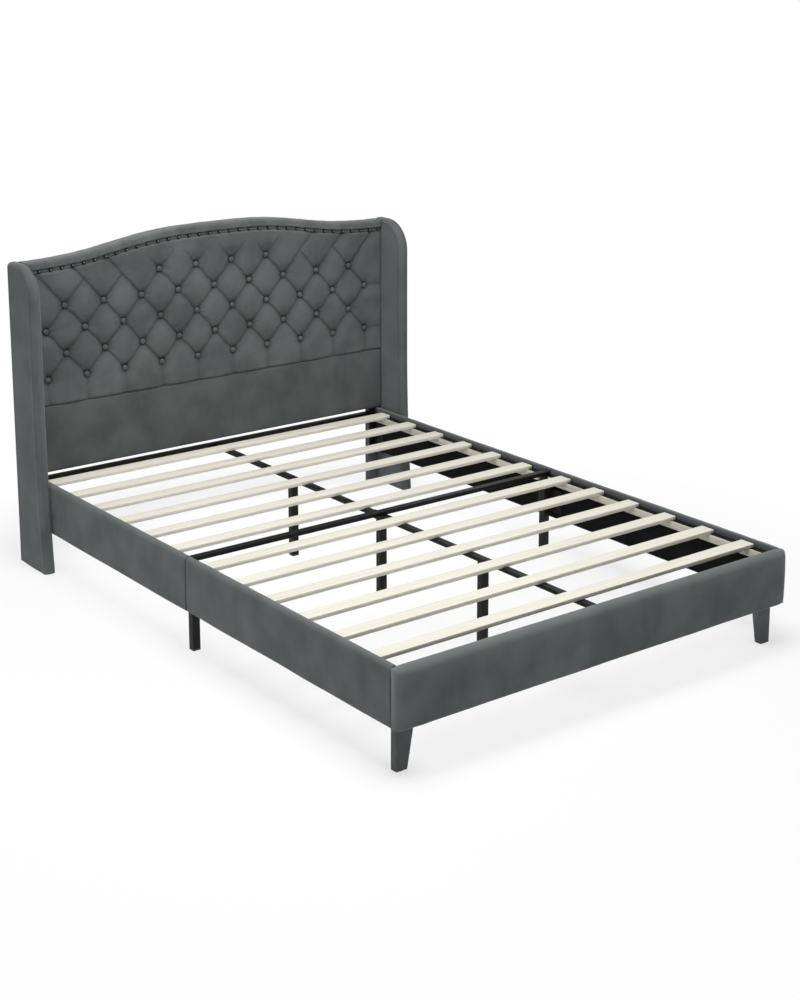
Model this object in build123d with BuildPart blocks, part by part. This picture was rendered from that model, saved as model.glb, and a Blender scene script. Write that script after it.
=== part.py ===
from build123d import *
import math
import os

os.makedirs("parts", exist_ok=True)

# Upholstered platform bed: a wingback headboard with a camelback top and a diamond tufted pad,
# padded side rails in two sections, a padded foot panel, a steel under-frame and wooden slats.
# Units are millimetres. X runs across the bed, Y from the foot to the head, Z up.
# The origin is on the floor, under the middle of the whole bed. Left is the side of -X.

# Whole bed
overall_length = 2054.0
rail_span = 1450.0
rail_underside = 129.0
rail_top = 299.0
headboard_height = 1083.0
headboard_side_height = 1021.0
headboard_underside = 302.0

# Gaps and cutting
soft_gap = 0.3
bolt_clearance = 0.1
plug_clearance = 0.3
overrun = 5.0

# Cloth and foam thicknesses
fabric_wrap = 2.0
backing_cloth = 1.0
rail_foam = 5.0
foot_foam = 8.0
wing_foam = 8.0
crest_foam = 12.0

# Side rails
rail_board_thickness = 12.0
rail_wrap_depth = 20.0
rail_edge_radius = 6.0
rail_inner_radius = 4.0
rail_seam_y = -3.0
ledger_width = 25.0
ledger_height = 25.0
ledger_mid_gap = 12.0
ledger_foot_gap = 10.0
ledger_head_gap = 36.0
tape_width = 20.0
tape_thickness = 1.0
tape_inset = 3.0

# Foot panel and its legs
foot_board_thickness = 20.0
foot_edge_radius = 10.0
foot_inner_radius = 5.0
leg_setback = 8.0
leg_top_width = 59.0
leg_floor_width = 37.0
leg_depth = 25.0
leg_inset = 23.5
leg_edge_radius = 3.0

# Headboard
frame_depth = 24.0
panel_thickness = 5.0
pad_thickness = 21.0
post_width = 42.0
batten_height = 60.0
top_batten_height = 130.0
crest_half_width = 439.0
crest_power = 3.18
crest_points = 8
border_band = 26.5
trim_channel = 13.0
trim_strip_thickness = 18.0
border_proud = 3.0
border_front_radius = 10.0
border_back_radius = 7.0
pad_seam_height = 530.0
pad_edge_radius = 8.0
pad_corner_radius = 12.0
lower_pad_crown = 5.0
lower_pad_edge = 6.0

# Tufting
tuft_columns = 10
tuft_rise = 82.0
tuft_seam_gap = 87.0
tuft_top_gap = 80.0
groove_depth = 10.0
groove_root_width = 8.0
groove_root_depth = 6.5
groove_slope_width = 26.0
groove_slope_depth = 2.5
groove_mouth_width = 48.0
pleat_depth = 6.0
pleat_width = 14.0
dimple_depth = 13.0
dimple_mouth_radius = 26.0
button_radius = 10.5
button_rim = 3.0
button_dome = 4.0
button_clearance = 0.5

# Decorative nails
nail_radius = 6.2
nail_rim = 1.0
nail_dome = 4.0
nail_count = 36

# Wings
wing_rise = 5.0
wing_thickness = 40.0
wing_depth = 169.0
wing_corner_radius = 110.0
wing_edge_radius = 9.0
wing_flare_height = 555.0
wing_toe = 24.0

# Slats and steel under-frame
support_height = 278.0
slat_thickness = 12.0
slat_width = 50.0
slats_per_half = 6
foot_slat_end_gap = 107.0
head_slat_end_gap = 59.0
slat_end_gap = 5.0
slat_corner_radius = 3.0
crossbar_y = 9.0
crossbar_width = 25.0
crossbar_height = 13.0
crossbar_end_gap = 1.0
foot_slat_offset = 94.0
head_slat_offset = 101.0
centre_rail_width = 25.0
centre_rail_height = 12.0
tube_wall = 1.5
head_bar_size = 25.0
head_bar_wall = 2.5
head_bar_height = 284.0
steel_leg_size = 25.0
foot_leg_reach = 506.0
head_leg_reach = 492.0
cap_height = 6.0
cap_plug_height = 15.0
glide_height = 3.0
glide_radius = 9.0

# Brackets, plates and bolts
plate_thickness = 3.0
flange_length = 60.0
bracket_height = 110.0
joint_plate_length = 120.0
joint_plate_height = 80.0
joint_bolt_reach = 48.0
sleeve_length = 108.0
sleeve_wall = 2.5
seat_length = 40.0
ear_width = 17.5
bolt_radius = 3.0
bolt_head_radius = 6.0
bolt_head_height = 4.0
bolt_bite = 10.0
long_bolt_bite = 18.0
bracket_bolt_drops = (60.0, 20.0)
flange_bolt_reach = 35.0
wing_bolt_low_gap = 117.25
wing_bolt_high_gap = 47.25

# Places that follow from the sizes
half_span = rail_span / 2
front_y = -overall_length / 2
back_y = overall_length / 2
rail_thickness = rail_foam + rail_board_thickness + fabric_wrap
rail_inner_x = half_span - rail_thickness
board_outer_x = half_span - rail_foam
board_inner_x = board_outer_x - rail_board_thickness
backing_inner_x = board_inner_x - backing_cloth
foot_board_front_y = front_y + foot_foam
foot_board_back_y = foot_board_front_y + foot_board_thickness
foot_backing_y = foot_board_back_y + backing_cloth
foot_back_y = foot_board_back_y + fabric_wrap
frame_back_y = back_y - fabric_wrap
frame_front_y = frame_back_y - frame_depth
post_front_y = frame_front_y - fabric_wrap
panel_front_y = frame_front_y - panel_thickness
pad_front_y = panel_front_y - pad_thickness
border_front_y = pad_front_y - border_proud
wing_inner_x = half_span + soft_gap
wing_outer_x = wing_inner_x + wing_thickness
wing_front_y = back_y - wing_depth
wing_height = headboard_side_height + wing_rise
post_inner_x = half_span - post_width
crest_rise = headboard_height - headboard_side_height
trim_drop = border_band + trim_channel
wrap_low_z = rail_top - rail_wrap_depth
slat_top = support_height + slat_thickness
slat_half_length = rail_inner_x - slat_end_gap
side_leg_x = backing_inner_x - plate_thickness - steel_leg_size / 2
centre_rail_low = support_height - centre_rail_height
foot_leg_y = foot_back_y + foot_leg_reach
head_leg_y = post_front_y - head_leg_reach
top_batten_low = min(headboard_side_height, headboard_height) - top_batten_height
tuft_pitch = rail_span / tuft_columns
tuft_low_row_height = pad_seam_height + tuft_seam_gap
SIDES = {"left": -1, "right": 1}


def keep(piece, name):
    """Labels a finished piece and writes its file."""
    piece.part.label = name
    export_step(piece.part, f"parts/{name}.step")


def slab(x_range, y_range, z_range, mode=Mode.ADD):
    """Adds or cuts a box that fills three ranges."""
    spans = [sorted(span) for span in (x_range, y_range, z_range)]
    sizes = [high - low for low, high in spans]
    middle = [(low + high) / 2 for low, high in spans]
    with Locations(tuple(middle)):
        Box(*sizes, mode=mode)


def both(side, inner, outer):
    """Gives the X range between two distances from the middle line on one side."""
    return (side * inner, side * outer)


def crest(x):
    """Gives the height of the camelback top at one distance from the middle."""
    return headboard_side_height + crest_rise * math.exp(-((abs(x) / crest_half_width) ** crest_power))


def crest_curve(half_width, drop):
    """Gives the points of the camelback line, lowered by one drop, from left to right."""
    steps = range(-crest_points, crest_points + 1)
    return [(half_width * i / crest_points, crest(half_width * i / crest_points) - drop) for i in steps]


def facing(y):
    """Gives the upright plane at one Y, seen from the foot of the bed."""
    return Plane(origin=(0, y, 0), x_dir=(1, 0, 0), z_dir=(0, -1, 0))


def crest_band(half_width, high_drop, low_drop):
    """Draws the band between two lowered camelback lines."""
    with BuildLine() as outline:
        high = Spline(*crest_curve(half_width, high_drop))
        low = Spline(*crest_curve(half_width, low_drop))
        Line(high @ 0, low @ 0)
        Line(high @ 1, low @ 1)
    make_face(outline.edges())


def crest_panel(half_width, drop, low_z):
    """Draws the shape from a level line up to the lowered camelback line."""
    with BuildLine() as outline:
        high = Spline(*crest_curve(half_width, drop))
        Polyline(high @ 0, (-half_width, low_z), (half_width, low_z), high @ 1)
    make_face(outline.edges())


# Bolts: the point under the head, the way the shank goes, and the shank's length
def bolt_plane(place, way):
    """Gives the plane under a bolt's head, facing back out of the hole."""
    return Plane(origin=place, z_dir=tuple(-part for part in way))


def bolt_bores(bolts):
    """Cuts the clearance holes of a list of bolts."""
    for place, way, length in bolts:
        with Locations(bolt_plane(place, way)):
            reach = 2 * (length + bolt_clearance)
            Cylinder(bolt_radius + bolt_clearance, reach, mode=Mode.SUBTRACT)


def rail_bolts(side, y_places, z_places):
    """Gives the bolts that go out through a plate and the backing into a rail board."""
    face = backing_inner_x - plate_thickness
    length = plate_thickness + backing_cloth + bolt_bite
    return [((side * face, y, z), (side, 0, 0), length) for y in y_places for z in z_places]


bracket_low = rail_underside
bracket_high = bracket_low + bracket_height
bracket_bolt_z = tuple(bracket_high - drop for drop in bracket_bolt_drops)
plate_low = (rail_underside + support_height - joint_plate_height) / 2 - ledger_height / 2
plate_bolt_z = (plate_low + joint_plate_height / 4, plate_low + 3 * joint_plate_height / 4)
plate_bolt_y = (rail_seam_y - joint_bolt_reach, rail_seam_y + joint_bolt_reach)
leg_front_y = foot_back_y + leg_setback
leg_mid_y = leg_front_y + leg_depth / 2
leg_outer_x = half_span - leg_inset
head_bar_bolt_z = head_bar_height - head_bar_size / 2
ear_reach = centre_rail_width / 2 + ear_width
ear_bolt_x = centre_rail_width / 2 + ear_width / 2
ear_bolt_z = support_height - centre_rail_height / 2
wing_bolt_low_z = headboard_underside + batten_height + wing_bolt_low_gap
wing_bolt_high_z = top_batten_low - wing_bolt_high_gap
wing_bolt_z = (wing_bolt_low_z, (wing_bolt_low_z + wing_bolt_high_z) / 2, wing_bolt_high_z)
frame_mid_y = (frame_front_y + frame_back_y) / 2

corner_rail_bolts = {}
corner_foot_bolts = {}
corner_leg_bolts = {}
head_rail_bolts = {}
head_post_bolts = {}
joint_bolts = {}
bar_post_bolts = {}
wing_bolts = {}
for word, side in SIDES.items():
    corner_rail_bolts[word] = rail_bolts(side, (foot_backing_y + flange_bolt_reach,), bracket_bolt_z)
    corner_foot_bolts[word] = [
        ((side * (backing_inner_x - flange_bolt_reach), foot_backing_y + plate_thickness, z), (0, -1, 0),
         plate_thickness + backing_cloth + bolt_bite)
        for z in bracket_bolt_z
    ]
    corner_leg_bolts[word] = [
        ((side * (leg_outer_x - leg_floor_width / 2 + reach), leg_mid_y, rail_underside + plate_thickness),
         (0, 0, -1), plate_thickness + long_bolt_bite)
        for reach in (-bolt_bite, bolt_bite)
    ]
    head_rail_bolts[word] = rail_bolts(side, (post_front_y - flange_bolt_reach,), bracket_bolt_z)
    post_bolt_x = (post_inner_x + backing_inner_x - plate_thickness) / 2
    head_post_bolts[word] = [
        ((side * post_bolt_x, post_front_y - plate_thickness, z), (0, 1, 0),
         plate_thickness + fabric_wrap + bolt_bite)
        for z in bracket_bolt_z
    ]
    joint_bolts[word] = rail_bolts(side, plate_bolt_y, plate_bolt_z)
    bar_post_bolts[word] = [
        ((side * post_bolt_x, post_front_y - head_bar_wall, head_bar_bolt_z), (0, 1, 0),
         head_bar_wall + fabric_wrap + bolt_bite)
    ]
    wing_bolts[word] = [
        ((side * (post_inner_x + fabric_wrap), frame_mid_y, z), (side, 0, 0),
         post_width - fabric_wrap + soft_gap + wing_foam + bolt_bite)
        for z in wing_bolt_z
    ]
foot_ear_bolts = [
    ((side * ear_bolt_x, foot_backing_y + plate_thickness, ear_bolt_z), (0, -1, 0),
     plate_thickness + backing_cloth + bolt_bite)
    for side in SIDES.values()
]
head_ear_bolts = [
    ((side * ear_bolt_x, post_front_y - head_bar_wall - plate_thickness, ear_bolt_z), (0, 1, 0),
     plate_thickness + head_bar_wall + fabric_wrap)
    for side in SIDES.values()
]

# Side rails: each side has a foot section and a head section that meet at a seam
rail_sections = {
    "foot": (foot_back_y + soft_gap, rail_seam_y - soft_gap / 2),
    "head": (rail_seam_y + soft_gap / 2, post_front_y - soft_gap),
}
for word, side in SIDES.items():
    for half, (low_y, high_y) in rail_sections.items():
        board_y = (low_y + fabric_wrap, high_y - fabric_wrap)
        board_z = (rail_underside + fabric_wrap, rail_top - rail_foam)
        bores = joint_bolts[word] + (corner_rail_bolts[word] if half == "foot" else head_rail_bolts[word])

        with BuildPart() as rail_board:
            slab(both(side, board_inner_x, board_outer_x), board_y, board_z)
            bolt_bores(bores)
        keep(rail_board, f"rail_board_{word}_{half}")

        # The padded cover goes over the top of the board and a little way down its inner face
        with BuildPart() as rail_cover:
            slab(both(side, rail_inner_x, half_span), (low_y, high_y), (rail_underside, rail_top))
            outer_face = rail_cover.faces().sort_by(Axis.X)[-1 if side > 0 else 0]
            fillet(outer_face.edges(), radius=rail_edge_radius)
            top_edges = rail_cover.edges().filter_by(Axis.Y).group_by(Axis.Z)[-1]
            fillet(top_edges.sort_by(Axis.X)[0 if side > 0 else -1], radius=rail_inner_radius)
            slab(both(side, board_inner_x, board_outer_x), board_y, board_z, mode=Mode.SUBTRACT)
            window_z = (rail_underside - overrun, wrap_low_z)
            slab(both(side, rail_inner_x - overrun, board_inner_x), (low_y - overrun, high_y + overrun), window_z,
                 mode=Mode.SUBTRACT)
        keep(rail_cover, f"rail_cover_{word}_{half}")

# Black cloth on the inner faces, below the padded cover's turned edge
with BuildPart() as inner_backings:
    for word, side in SIDES.items():
        for low_y, high_y in rail_sections.values():
            slab(both(side, backing_inner_x, board_inner_x), (low_y + fabric_wrap, high_y - fabric_wrap),
                 (rail_underside + fabric_wrap, wrap_low_z))
        bolt_bores(joint_bolts[word] + corner_rail_bolts[word] + head_rail_bolts[word])
    slab((-backing_inner_x, backing_inner_x), (foot_board_back_y, foot_backing_y),
         (rail_underside + fabric_wrap, wrap_low_z))
    bolt_bores(corner_foot_bolts["left"] + corner_foot_bolts["right"] + foot_ear_bolts)
keep(inner_backings, "inner_backings")

# Wooden ledgers that carry the slat ends, with hook-and-loop tape along their tops
bar_half = crossbar_width / 2 + ledger_mid_gap
ledger_lengths = (
    (foot_back_y + ledger_foot_gap, crossbar_y - bar_half),
    (crossbar_y + bar_half, post_front_y - ledger_head_gap),
)
ledger_inner_x = backing_inner_x - ledger_width
for word, side in SIDES.items():
    with BuildPart() as ledger:
        for length_y in ledger_lengths:
            slab(both(side, ledger_inner_x, backing_inner_x), length_y,
                 (support_height - ledger_height, support_height - tape_thickness))
    keep(ledger, f"ledger_{word}")

with BuildPart() as ledger_tapes:
    for side in SIDES.values():
        for length_y in ledger_lengths:
            slab(both(side, ledger_inner_x + tape_inset, ledger_inner_x + tape_inset + tape_width), length_y,
                 (support_height - tape_thickness, support_height))
keep(ledger_tapes, "ledger_tapes")

# Foot panel: a board in a padded cover
with BuildPart() as foot_board:
    slab((foot_foam - half_span, half_span - foot_foam), (foot_board_front_y, foot_board_back_y),
         (rail_underside + fabric_wrap, rail_top - foot_foam))
    bolt_bores(corner_foot_bolts["left"] + corner_foot_bolts["right"] + foot_ear_bolts)
keep(foot_board, "foot_board")

with BuildPart() as foot_cover:
    slab((-half_span, half_span), (front_y, foot_back_y), (rail_underside, rail_top))
    front_face = foot_cover.faces().sort_by(Axis.Y)[0]
    end_tops = foot_cover.edges().filter_by(Axis.Y).group_by(Axis.Z)[-1]
    fillet(front_face.edges() + end_tops, radius=foot_edge_radius)
    fillet(foot_cover.edges().filter_by(Axis.X).group_by(Axis.Z)[-1].sort_by(Axis.Y)[-1], radius=foot_inner_radius)
    slab((foot_foam - half_span, half_span - foot_foam), (foot_board_front_y, foot_board_back_y),
         (rail_underside + fabric_wrap, rail_top - foot_foam), mode=Mode.SUBTRACT)
    slab((-backing_inner_x, backing_inner_x), (foot_board_back_y, foot_back_y + overrun),
         (rail_underside - overrun, wrap_low_z), mode=Mode.SUBTRACT)
keep(foot_cover, "foot_cover")

# Foot legs: the outer face is upright, the inner face leans in towards the floor
for word, side in SIDES.items():
    with BuildPart() as foot_leg:
        with BuildSketch(facing(leg_front_y)):
            with BuildLine():
                Polyline(
                    (side * leg_outer_x, glide_height),
                    (side * (leg_outer_x - leg_floor_width), glide_height),
                    (side * (leg_outer_x - leg_top_width), rail_underside),
                    (side * leg_outer_x, rail_underside),
                    close=True,
                )
            make_face()
        extrude(amount=-leg_depth)
        upright = [edge for edge in foot_leg.edges() if abs(edge.tangent_at(0).Z) > abs(edge.tangent_at(0).X)
                   and abs(edge.tangent_at(0).Z) > abs(edge.tangent_at(0).Y)]
        fillet(upright, radius=leg_edge_radius)
        bolt_bores(corner_leg_bolts[word])
    keep(foot_leg, f"foot_leg_{word}")

# Steel corner brackets that tie each rail to the foot panel and carry the foot leg
with BuildPart() as corner_brackets:
    for word, side in SIDES.items():
        tall = (bracket_low, bracket_high)
        inner = backing_inner_x - flange_length
        slab(both(side, backing_inner_x - plate_thickness, backing_inner_x),
             (foot_backing_y, foot_backing_y + flange_length), tall)
        slab(both(side, inner, backing_inner_x), (foot_backing_y, foot_backing_y + plate_thickness), tall)
        slab(both(side, inner - leg_edge_radius, backing_inner_x),
             (foot_backing_y, foot_backing_y + flange_length), (bracket_low, bracket_low + plate_thickness))
        bolt_bores(corner_rail_bolts[word] + corner_foot_bolts[word] + corner_leg_bolts[word])
keep(corner_brackets, "corner_brackets")

# Steel brackets that tie each rail to a headboard post
with BuildPart() as head_brackets:
    for word, side in SIDES.items():
        tall = (bracket_low, bracket_high)
        slab(both(side, backing_inner_x - plate_thickness, backing_inner_x),
             (post_front_y - flange_length, post_front_y), tall)
        slab(both(side, post_inner_x, backing_inner_x), (post_front_y - plate_thickness, post_front_y), tall)
        bolt_bores(head_rail_bolts[word] + head_post_bolts[word])
keep(head_brackets, "head_brackets")

# Plates that join the two sections of each rail, and the sleeve that joins the centre rail
sleeve_half = centre_rail_width / 2 + sleeve_wall
sleeve_y = (crossbar_y - sleeve_length / 2, crossbar_y + sleeve_length / 2)
with BuildPart() as joint_plates:
    for word, side in SIDES.items():
        slab(both(side, backing_inner_x - plate_thickness, backing_inner_x),
             (rail_seam_y - joint_plate_length / 2, rail_seam_y + joint_plate_length / 2),
             (plate_low, plate_low + joint_plate_height))
        bolt_bores(joint_bolts[word])
    slab((-sleeve_half, sleeve_half), sleeve_y, (centre_rail_low - sleeve_wall, support_height))
    slab((-centre_rail_width / 2, centre_rail_width / 2), sleeve_y, (centre_rail_low, support_height),
         mode=Mode.SUBTRACT)
keep(joint_plates, "joint_plates")

# Headboard frame: two posts that reach the floor, two battens and a thin panel
for word, side in SIDES.items():
    with BuildPart() as post:
        post_top = headboard_side_height - crest_foam
        slab(both(side, post_inner_x + fabric_wrap, half_span - fabric_wrap), (frame_front_y, frame_back_y),
             (glide_height, post_top))
        bolt_bores(head_post_bolts[word] + bar_post_bolts[word] + wing_bolts[word])
    keep(post, f"headboard_post_{word}")

batten_half = post_inner_x + fabric_wrap
with BuildPart() as headboard_battens:
    slab((-batten_half, batten_half), (frame_front_y, frame_back_y),
         (headboard_underside + fabric_wrap, headboard_underside + batten_height))
    with BuildSketch(facing(frame_front_y)):
        crest_panel(batten_half, crest_foam, top_batten_low)
    extrude(amount=-frame_depth)
keep(headboard_battens, "headboard_battens")

with BuildPart() as headboard_panel:
    with BuildSketch(facing(panel_front_y)):
        crest_panel(half_span - fabric_wrap, crest_foam, headboard_underside + fabric_wrap)
    extrude(amount=-panel_thickness)
keep(headboard_panel, "headboard_panel")

# Fabric sleeves on the parts of the posts that show below the headboard
with BuildPart() as post_covers:
    for word, side in SIDES.items():
        sleeve_z = (glide_height, headboard_underside)
        slab(both(side, post_inner_x, half_span), (post_front_y, back_y), sleeve_z)
        slab(both(side, post_inner_x + fabric_wrap, half_span - fabric_wrap), (frame_front_y, frame_back_y),
             (glide_height - overrun, headboard_underside + overrun), mode=Mode.SUBTRACT)
        bolt_bores(head_post_bolts[word] + bar_post_bolts[word])
keep(post_covers, "post_covers")

with BuildPart() as back_cover:
    with BuildSketch(facing(frame_back_y)):
        crest_panel(half_span, border_band + soft_gap, headboard_underside + soft_gap)
    extrude(amount=-fabric_wrap)
keep(back_cover, "back_cover")

# The rolled border above the nails goes over the top edge to the back
with BuildPart() as top_border:
    with BuildSketch(facing(border_front_y)):
        crest_band(half_span, 0, border_band)
    extrude(amount=border_front_y - back_y)
    long_edges = [edge for edge in top_border.edges() if edge.geom_type == GeomType.BSPLINE]
    front_edges = [edge for edge in long_edges if edge.center().Y < frame_front_y]
    back_edges = [edge for edge in long_edges if edge.center().Y > frame_front_y]
    fillet(max(front_edges, key=lambda edge: edge.center().Z), radius=border_front_radius)
    fillet(max(back_edges, key=lambda edge: edge.center().Z), radius=border_back_radius)
    with BuildSketch(facing(panel_front_y)):
        crest_panel(half_span + overrun, crest_foam - soft_gap, top_batten_low)
    extrude(amount=panel_front_y - frame_back_y, mode=Mode.SUBTRACT)
keep(top_border, "top_border")

with BuildPart() as trim_strip:
    with BuildSketch(facing(panel_front_y - trim_strip_thickness)):
        crest_band(half_span, border_band + soft_gap, trim_drop - soft_gap)
    extrude(amount=-trim_strip_thickness)
keep(trim_strip, "trim_strip")

# Decorative nails, evenly spaced along the camelback line
def domed_head(radius, rim, dome):
    """Makes a round head with a flat rim and a domed top, standing on its own base plane."""
    ball = (radius ** 2 + dome ** 2) / (2 * dome)
    low_angle = math.degrees(math.asin((ball - dome) / ball))
    with BuildPart(mode=Mode.PRIVATE) as head:
        with Locations((0, 0, rim / 2)):
            Cylinder(radius, rim)
        with Locations((0, 0, rim + dome - ball)):
            Sphere(ball, arc_size1=low_angle, align=(Align.NONE, Align.NONE, Align.NONE))
    return head.part


one_nail = domed_head(nail_radius, nail_rim, nail_dome)
with BuildLine(mode=Mode.PRIVATE) as nail_line:
    Spline(*crest_curve(half_span - nail_radius - trim_channel / 2, border_band + trim_channel / 2))
nail_spots = [nail_line.line @ (i / (nail_count - 1)) for i in range(nail_count)]
with BuildPart() as nail_trim:
    with Locations(*[facing(panel_front_y - trim_strip_thickness) * Location((spot.X, spot.Y)) for spot in nail_spots]):
        add(one_nail)
keep(nail_trim, "nail_trim")

# Lower pad: plain, with a slight crown
with BuildPart() as lower_pad:
    pad_low = headboard_underside
    pad_high = pad_seam_height - soft_gap
    with BuildSketch(Plane.YZ.offset(-half_span)):
        with BuildLine():
            edge_y = pad_front_y + lower_pad_crown
            Polyline((edge_y, pad_low), (panel_front_y, pad_low), (panel_front_y, pad_high), (edge_y, pad_high))
            ThreePointArc((edge_y, pad_high), (pad_front_y, (pad_low + pad_high) / 2), (edge_y, pad_low))
        make_face()
    extrude(amount=rail_span)
    fillet(lower_pad.edges().filter_by(Axis.X).group_by(Axis.Y)[0], radius=lower_pad_edge)
keep(lower_pad, "lower_pad")


# Tufted pad: buttons stand in rows, each row half a pitch from the next, up to the pad's top edge
def row_places(row):
    """Gives the buttons of one row, centred on the middle line."""
    height = tuft_low_row_height + row * tuft_rise
    count = tuft_columns - row % 2
    places = [tuft_pitch * (k - (count - 1) / 2) for k in range(count)]
    return [(x, height) for x in places if crest(x) - trim_drop - height > tuft_top_gap]


top_of_tufts = max(headboard_side_height, headboard_height)
row_count = math.ceil((top_of_tufts - tuft_low_row_height) / tuft_rise)
tuft_spots = [spot for row in range(row_count) for spot in row_places(row)]


def groove(start, finish, depths, widths):
    """Gives the cutter of a sewn groove that runs straight from one spot to another."""
    run = Vector(finish[0] - start[0], 0, finish[1] - start[1])
    plane = Plane(origin=(start[0], pad_front_y, start[1]), x_dir=(0, 1, 0), z_dir=run.normalized())
    one_side = list(zip(depths, widths))
    other_side = [(depth, -width) for depth, width in one_side[1:]]
    outline = [(-overrun, widths[-1])] + one_side[::-1] + other_side + [(-overrun, -widths[-1])]
    with BuildPart(mode=Mode.PRIVATE) as cutter:
        with BuildSketch(plane):
            with BuildLine():
                Polyline(*outline, close=True)
            make_face()
        extrude(amount=run.length)
    return cutter.part


crease_depths = (groove_depth, groove_root_depth, groove_slope_depth, 0)
crease_widths = (0, groove_root_width, groove_slope_width, groove_mouth_width)
pleat_depths = (pleat_depth, 0)
pleat_widths = (0, pleat_width)
low_row = row_places(0)
outer_spot = low_row[-1][0]
crease_rise = top_of_tufts - tuft_low_row_height
crease_run = crease_rise * (tuft_pitch / 2) / tuft_rise
cutters = []
for lean in (-1, 1):
    for x in [spot[0] for spot in low_row] + [-lean * (outer_spot + tuft_pitch)]:
        cutters.append(groove((x, tuft_low_row_height), (x + lean * crease_run, top_of_tufts),
                              crease_depths, crease_widths))
for x, z in low_row:
    cutters.append(groove((x, pad_seam_height - overrun), (x, z), pleat_depths, pleat_widths))
for row in (0, 2):
    height = tuft_low_row_height + row * tuft_rise
    for side in SIDES.values():
        cutters.append(groove((side * outer_spot, height), (side * (half_span + overrun), height),
                              pleat_depths, pleat_widths))

seat_y = pad_front_y + dimple_depth
with BuildPart() as tufted_pad:
    with BuildSketch(facing(pad_front_y)) as pad_outline:
        crest_panel(half_span, trim_drop, pad_seam_height + soft_gap)
        fillet(pad_outline.vertices(), radius=pad_corner_radius)
    extrude(amount=-pad_thickness)
    fillet(tufted_pad.faces().sort_by(Axis.Y)[0].edges(), radius=pad_edge_radius)
    add(cutters, mode=Mode.SUBTRACT)
    with Locations(*[facing(seat_y) * Location((x, z, dimple_depth / 2)) for x, z in tuft_spots]):
        Cone(button_radius + button_clearance, dimple_mouth_radius, dimple_depth, mode=Mode.SUBTRACT)
keep(tufted_pad, "tufted_pad")

one_button = domed_head(button_radius, button_rim, button_dome)
with BuildPart() as tuft_buttons:
    with Locations(*[facing(seat_y) * Location((x, z)) for x, z in tuft_spots]):
        add(one_button)
keep(tuft_buttons, "tuft_buttons")


# Wings: a shaped core in a padded cover
def wing_profile(inset, low_z):
    """Draws the wing's side view, drawn in by one inset all round but at the floor."""
    back = back_y - inset
    top = wing_height - inset
    front = wing_front_y + inset
    toe = front - wing_toe
    radius = wing_corner_radius - inset
    flare = wing_flare_height - glide_height
    swing = (flare ** 2 + wing_toe ** 2) / (2 * wing_toe)
    halfway = math.asin(flare / swing) / 2
    bow_y = front - swing * (1 - math.cos(halfway))
    bow_z = wing_flare_height - swing * math.sin(halfway)
    with BuildLine() as outline:
        Polyline((toe, low_z), (back, low_z), (back, top), (front + radius, top))
        RadiusArc((front + radius, top), (front, top - radius), -radius)
        Line((front, top - radius), (front, wing_flare_height))
        ThreePointArc((front, wing_flare_height), (bow_y, bow_z), (toe, glide_height))
        if low_z < glide_height:
            Line((toe, glide_height), (toe, low_z))
    make_face(outline.edges())


for word, side in SIDES.items():
    core_x = sorted(both(side, wing_inner_x + wing_foam, wing_outer_x - wing_foam))
    cover_x = sorted(both(side, wing_inner_x, wing_outer_x))

    with BuildPart() as wing_core:
        with BuildSketch(Plane.YZ.offset(core_x[0])):
            wing_profile(wing_foam, glide_height)
        extrude(amount=core_x[1] - core_x[0])
        bolt_bores(wing_bolts[word])
    keep(wing_core, f"wing_core_{word}")

    with BuildPart() as wing_cover:
        with BuildSketch(Plane.YZ.offset(cover_x[0])):
            wing_profile(0, glide_height)
        extrude(amount=cover_x[1] - cover_x[0])
        side_edges = wing_cover.faces().filter_by(Axis.X).edges()
        fillet([edge for edge in side_edges if edge.center().Z > glide_height + overrun], radius=wing_edge_radius)
        with BuildSketch(Plane.YZ.offset(core_x[0])):
            wing_profile(wing_foam, glide_height - overrun)
        extrude(amount=core_x[1] - core_x[0], mode=Mode.SUBTRACT)
        bolt_bores(wing_bolts[word])
    keep(wing_cover, f"wing_cover_{word}")

# Steel under-frame
head_bar_x = backing_inner_x - plate_thickness
with BuildPart() as head_crossbar:
    slab((-head_bar_x, head_bar_x), (post_front_y - head_bar_size, post_front_y),
         (head_bar_height - head_bar_wall, head_bar_height))
    slab((-head_bar_x, head_bar_x), (post_front_y - head_bar_wall, post_front_y),
         (head_bar_height - head_bar_size, head_bar_height))
    bolt_bores(bar_post_bolts["left"] + bar_post_bolts["right"] + head_ear_bolts)
keep(head_crossbar, "head_crossbar")

bar_y = (crossbar_y - crossbar_width / 2, crossbar_y + crossbar_width / 2)
bar_reach = rail_inner_x - crossbar_end_gap
with BuildPart() as mid_crossbar:
    slab((-bar_reach, bar_reach), bar_y, (support_height, support_height + crossbar_height))
    slab((-bar_reach - overrun, bar_reach + overrun), (bar_y[0] + tube_wall, bar_y[1] - tube_wall),
         (support_height + tube_wall, support_height + crossbar_height - tube_wall), mode=Mode.SUBTRACT)
keep(mid_crossbar, "mid_crossbar")

rail_foot_y = foot_backing_y + plate_thickness
rail_head_y = post_front_y - head_bar_wall - plate_thickness
for half, span in (("foot", (rail_foot_y, crossbar_y)), ("head", (crossbar_y, rail_head_y))):
    with BuildPart() as centre_rail:
        slab((-centre_rail_width / 2, centre_rail_width / 2), span, (centre_rail_low, support_height))
        slab((tube_wall - centre_rail_width / 2, centre_rail_width / 2 - tube_wall),
             (span[0] - overrun, span[1] + overrun),
             (centre_rail_low + tube_wall, support_height - tube_wall), mode=Mode.SUBTRACT)
    keep(centre_rail, f"centre_rail_{half}")

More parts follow.
